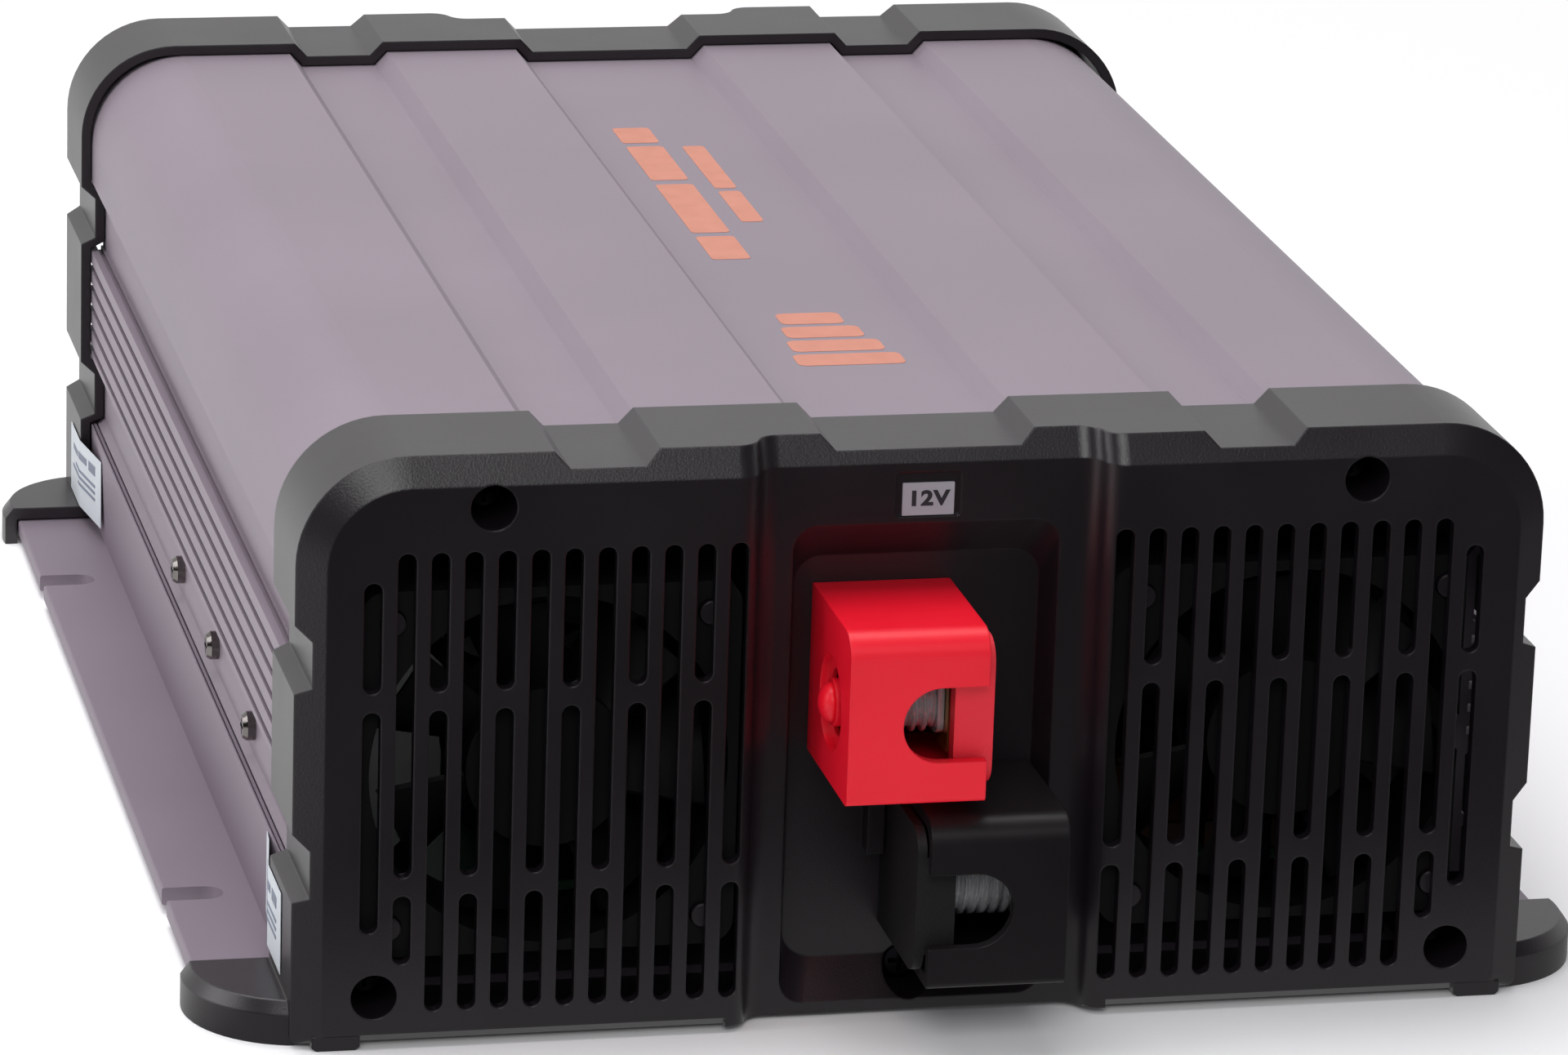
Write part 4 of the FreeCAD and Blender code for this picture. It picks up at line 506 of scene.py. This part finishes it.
def bent_strips(name, line, low, high, lift, spans, material):
    """Thin closed strips that follow a bent line in plan, on its left."""
    run = [0.0]
    for (x0, d0), (x1, d1) in zip(line, line[1:]):
        run.append(run[-1] + math.hypot(x1 - x0, d1 - d0))
    vertices, faces = [], []
    for first, last, bottom, top in spans:
        inside = [r / run[-1] for r in run if first < r / run[-1] < last]
        stations = [place_along(line, run, share) for share in [first] + inside + [last]]
        back = len(vertices)
        for out in (lift + SEAL_ROOM, lift + SEAL_ROOM + SEAL_THICKNESS):
            for x, depth in stations:
                for share in (bottom, top):
                    vertices.append(point(x - out, depth, low + share * (high - low)))
        count = len(stations)
        front = back + 2 * count
        for index in range(count - 1):
            a, b = back + 2 * index, back + 2 * index + 2
            c, d = front + 2 * index, front + 2 * index + 2
            faces += [(a, b, b + 1, a + 1), (c, c + 1, d + 1, d), (a, c, d, b), (a + 1, b + 1, d + 1, c + 1)]
        faces.append((back, back + 1, front + 1, front))
        end = 2 * count - 2
        faces.append((back + end, front + end, front + end + 1, back + end + 1))
    return mesh_object(name, vertices, faces, material)


for label, (line, low, high) in SEALS.items():
    for name, lift, spans, material in (
        ("seal_", 0.0, WHOLE_SEAL, PAPER),
        ("seal_print_", PRINT_LIFT, SEAL_BARS, INK),
    ):
        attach(bent_strips(name + label, line, low, high, lift, spans, material), "inverter")


# ------------------------------------------------------------------ stage

def step(nodes, links, value, low, high, start, end):
    """Value that rises from start to end while the input goes from low to high."""
    node = nodes.new("ShaderNodeMapRange")
    node.interpolation_type = "SMOOTHSTEP"
    node.inputs["From Min"].default_value = low
    node.inputs["From Max"].default_value = high
    node.inputs["To Min"].default_value = start
    node.inputs["To Max"].default_value = end
    links.new(value, node.inputs["Value"])
    return node.outputs["Result"]


def shader_mix(nodes, links, share, first, second):
    """Mix of two shaders, where a share of 1 gives the second."""
    node = nodes.new("ShaderNodeMixShader")
    links.new(share, node.inputs["Fac"])
    links.new(first, node.inputs[1])
    links.new(second, node.inputs[2])
    return node.outputs["Shader"]


FLOOR_WHITE = 0.93
FLOOR_HALF = 6.0
# Lines on the floor, in metres, between which its reflection rises from dark to bright: across the floor behind
# the object (Y less 1.2 X), and in front of it (Y).
REFLECTION_SLANT = -1.2
REFLECTION_BEHIND = (-0.04, 0.05)
REFLECTION_FRONT = (-0.215, -0.165)
# Strengths of that reflection: dark parts, and the floor right in front of the object. Bright parts are white.
REFLECTION_DIM, REFLECTION_NEAR = 0.02, 0.4
# Distance from the origin over which the floor turns into the white backdrop for the camera.
BACKDROP = (0.35, 0.75)

# The floor is matt white; in glossy surfaces it shows bright behind the object and dark in front of it.
floor_mat = bpy.data.materials.new("floor_white")
floor_mat.use_nodes = True
nodes, links = floor_mat.node_tree.nodes, floor_mat.node_tree.links
nodes.clear()
out = nodes.new("ShaderNodeOutputMaterial")
pale = nodes.new("ShaderNodeBsdfPrincipled")
pale.inputs["Base Color"].default_value = (FLOOR_WHITE, FLOOR_WHITE, FLOOR_WHITE, 1)
pale.inputs["Roughness"].default_value = 0.9
pale.inputs["Specular IOR Level"].default_value = 0.1
shown = nodes.new("ShaderNodeEmission")
place = nodes.new("ShaderNodeTexCoord")
axes = nodes.new("ShaderNodeSeparateXYZ")
links.new(place.outputs["Object"], axes.inputs["Vector"])
beside = nodes.new("ShaderNodeMath")
beside.operation = "MULTIPLY_ADD"
beside.inputs[1].default_value = REFLECTION_SLANT
links.new(axes.outputs["X"], beside.inputs[0])
links.new(axes.outputs["Y"], beside.inputs[2])
far_part = step(nodes, links, beside.outputs["Value"], *REFLECTION_BEHIND, REFLECTION_DIM, 1.0)
near_part = step(nodes, links, axes.outputs["Y"], *REFLECTION_FRONT, REFLECTION_DIM, REFLECTION_NEAR)
brighter = nodes.new("ShaderNodeMath")
brighter.operation = "MAXIMUM"
links.new(far_part, brighter.inputs[0])
links.new(near_part, brighter.inputs[1])
links.new(brighter.outputs["Value"], shown.inputs["Strength"])
light_path = nodes.new("ShaderNodeLightPath")
mixed = shader_mix(nodes, links, light_path.outputs["Is Glossy Ray"], pale.outputs["BSDF"],
                   shown.outputs["Emission"])
distance = nodes.new("ShaderNodeVectorMath")
distance.operation = "LENGTH"
links.new(place.outputs["Object"], distance.inputs[0])
camera_only = nodes.new("ShaderNodeMath")
camera_only.operation = "MULTIPLY"
links.new(step(nodes, links, distance.outputs["Value"], *BACKDROP, 0.0, 1.0), camera_only.inputs[0])
links.new(light_path.outputs["Is Camera Ray"], camera_only.inputs[1])
backdrop = nodes.new("ShaderNodeEmission")
backdrop.inputs["Strength"].default_value = 1.0
with_backdrop = shader_mix(nodes, links, camera_only.outputs["Value"], mixed, backdrop.outputs["Emission"])
links.new(with_backdrop, out.inputs["Surface"])
floor_corners = [(-FLOOR_HALF, -FLOOR_HALF, 0), (FLOOR_HALF, -FLOOR_HALF, 0),
                 (FLOOR_HALF, FLOOR_HALF, 0), (-FLOOR_HALF, FLOOR_HALF, 0)]
floor = mesh_object("floor", floor_corners, [(0, 1, 2, 3)], floor_mat)

# White backdrop for the camera, even soft light for matt surfaces, and for glossy ones a room
# that is bright behind the object and dim in front of it.
SOFT_LIGHT = 0.45
# Y of the direction between which the room goes from dim to white, and the dim strength.
ROOM_EDGE, ROOM_DIM = (-0.35, 0.4), 0.03
world = bpy.data.worlds.new("studio")
bpy.context.scene.world = world
world.use_nodes = True
nodes, links = world.node_tree.nodes, world.node_tree.links
nodes.clear()
world_out = nodes.new("ShaderNodeOutputWorld")
soft = nodes.new("ShaderNodeBackground")
soft.inputs["Color"].default_value = (0.96, 0.95, 1.0, 1)
soft.inputs["Strength"].default_value = SOFT_LIGHT
room = nodes.new("ShaderNodeBackground")
direction = nodes.new("ShaderNodeTexCoord")
axes = nodes.new("ShaderNodeSeparateXYZ")
links.new(direction.outputs["Generated"], axes.inputs["Vector"])
links.new(step(nodes, links, axes.outputs["Y"], *ROOM_EDGE, ROOM_DIM, 1.0), room.inputs["Strength"])
white = nodes.new("ShaderNodeBackground")
white.inputs["Color"].default_value = (1, 1, 1, 1)
white.inputs["Strength"].default_value = 1.0
path = nodes.new("ShaderNodeLightPath")
matt_or_glossy = shader_mix(nodes, links, path.outputs["Is Glossy Ray"], soft.outputs["Background"],
                            room.outputs["Background"])
for_camera = shader_mix(nodes, links, path.outputs["Is Camera Ray"], matt_or_glossy, white.outputs["Background"])
links.new(for_camera, world_out.inputs["Surface"])


def area(name, place, aim, width, height, power, colour=(1, 1, 1)):
    """Rectangular lamp at a place, turned to its aim; metres and watts."""
    light = bpy.data.lights.new(name, "AREA")
    light.shape = "RECTANGLE"
    light.size, light.size_y = width, height
    light.energy = power
    light.color = colour
    obj = linked(name, light)
    turn = (Vector(aim) - Vector(place)).to_track_quat("-Z", "Y").to_matrix().to_4x4()
    obj.matrix_world = Matrix.Translation(Vector(place)) @ turn


area("overhead", (-0.25, 0.15, 1.5), (0, 0, 0), 1.1, 1.0, 16, (1.0, 0.99, 1.0))
area("left_side", (-1.5, 0.1, 0.8), (0, 0, 0.04), 1.0, 1.1, 9, (0.98, 0.97, 1.0))
area("front_key", (-0.35, -1.5, 1.15), (0, -0.1, 0.04), 0.9, 0.6, 9)

# ------------------------------------------------------------------ camera

# Fitted to the photograph: turns in radians, place as (x, depth, z) in millimetres, focal length in pixels.
YAW, PITCH, ROLL = -0.223, -0.301, 0.033
CAMERA_PLACE = (-265.782, -1065.674, 422.657)
FOCAL_PIXELS, PHOTO_WIDTH = 9054, 1920
SENSOR_WIDTH = 36.0
forward = Vector((-math.sin(YAW) * math.cos(PITCH), math.cos(YAW) * math.cos(PITCH), math.sin(PITCH)))
level = Vector((math.cos(YAW), math.sin(YAW), 0))
upright = level.cross(forward)
side_axis = level * math.cos(ROLL) + upright * math.sin(ROLL)
up_axis = upright * math.cos(ROLL) - level * math.sin(ROLL)
camera_data = bpy.data.cameras.new("camera")
camera_data.sensor_width = SENSOR_WIDTH
camera_data.lens = SENSOR_WIDTH * FOCAL_PIXELS / PHOTO_WIDTH
camera_data.clip_start = 0.05
camera_data.clip_end = 50
camera = linked("camera", camera_data)
rotation = Matrix((side_axis, up_axis, -forward)).transposed().to_4x4()
camera.matrix_world = Matrix.Translation(point(*CAMERA_PLACE)) @ rotation
bpy.context.scene.camera = camera
bpy.context.scene.view_settings.view_transform = "Standard"
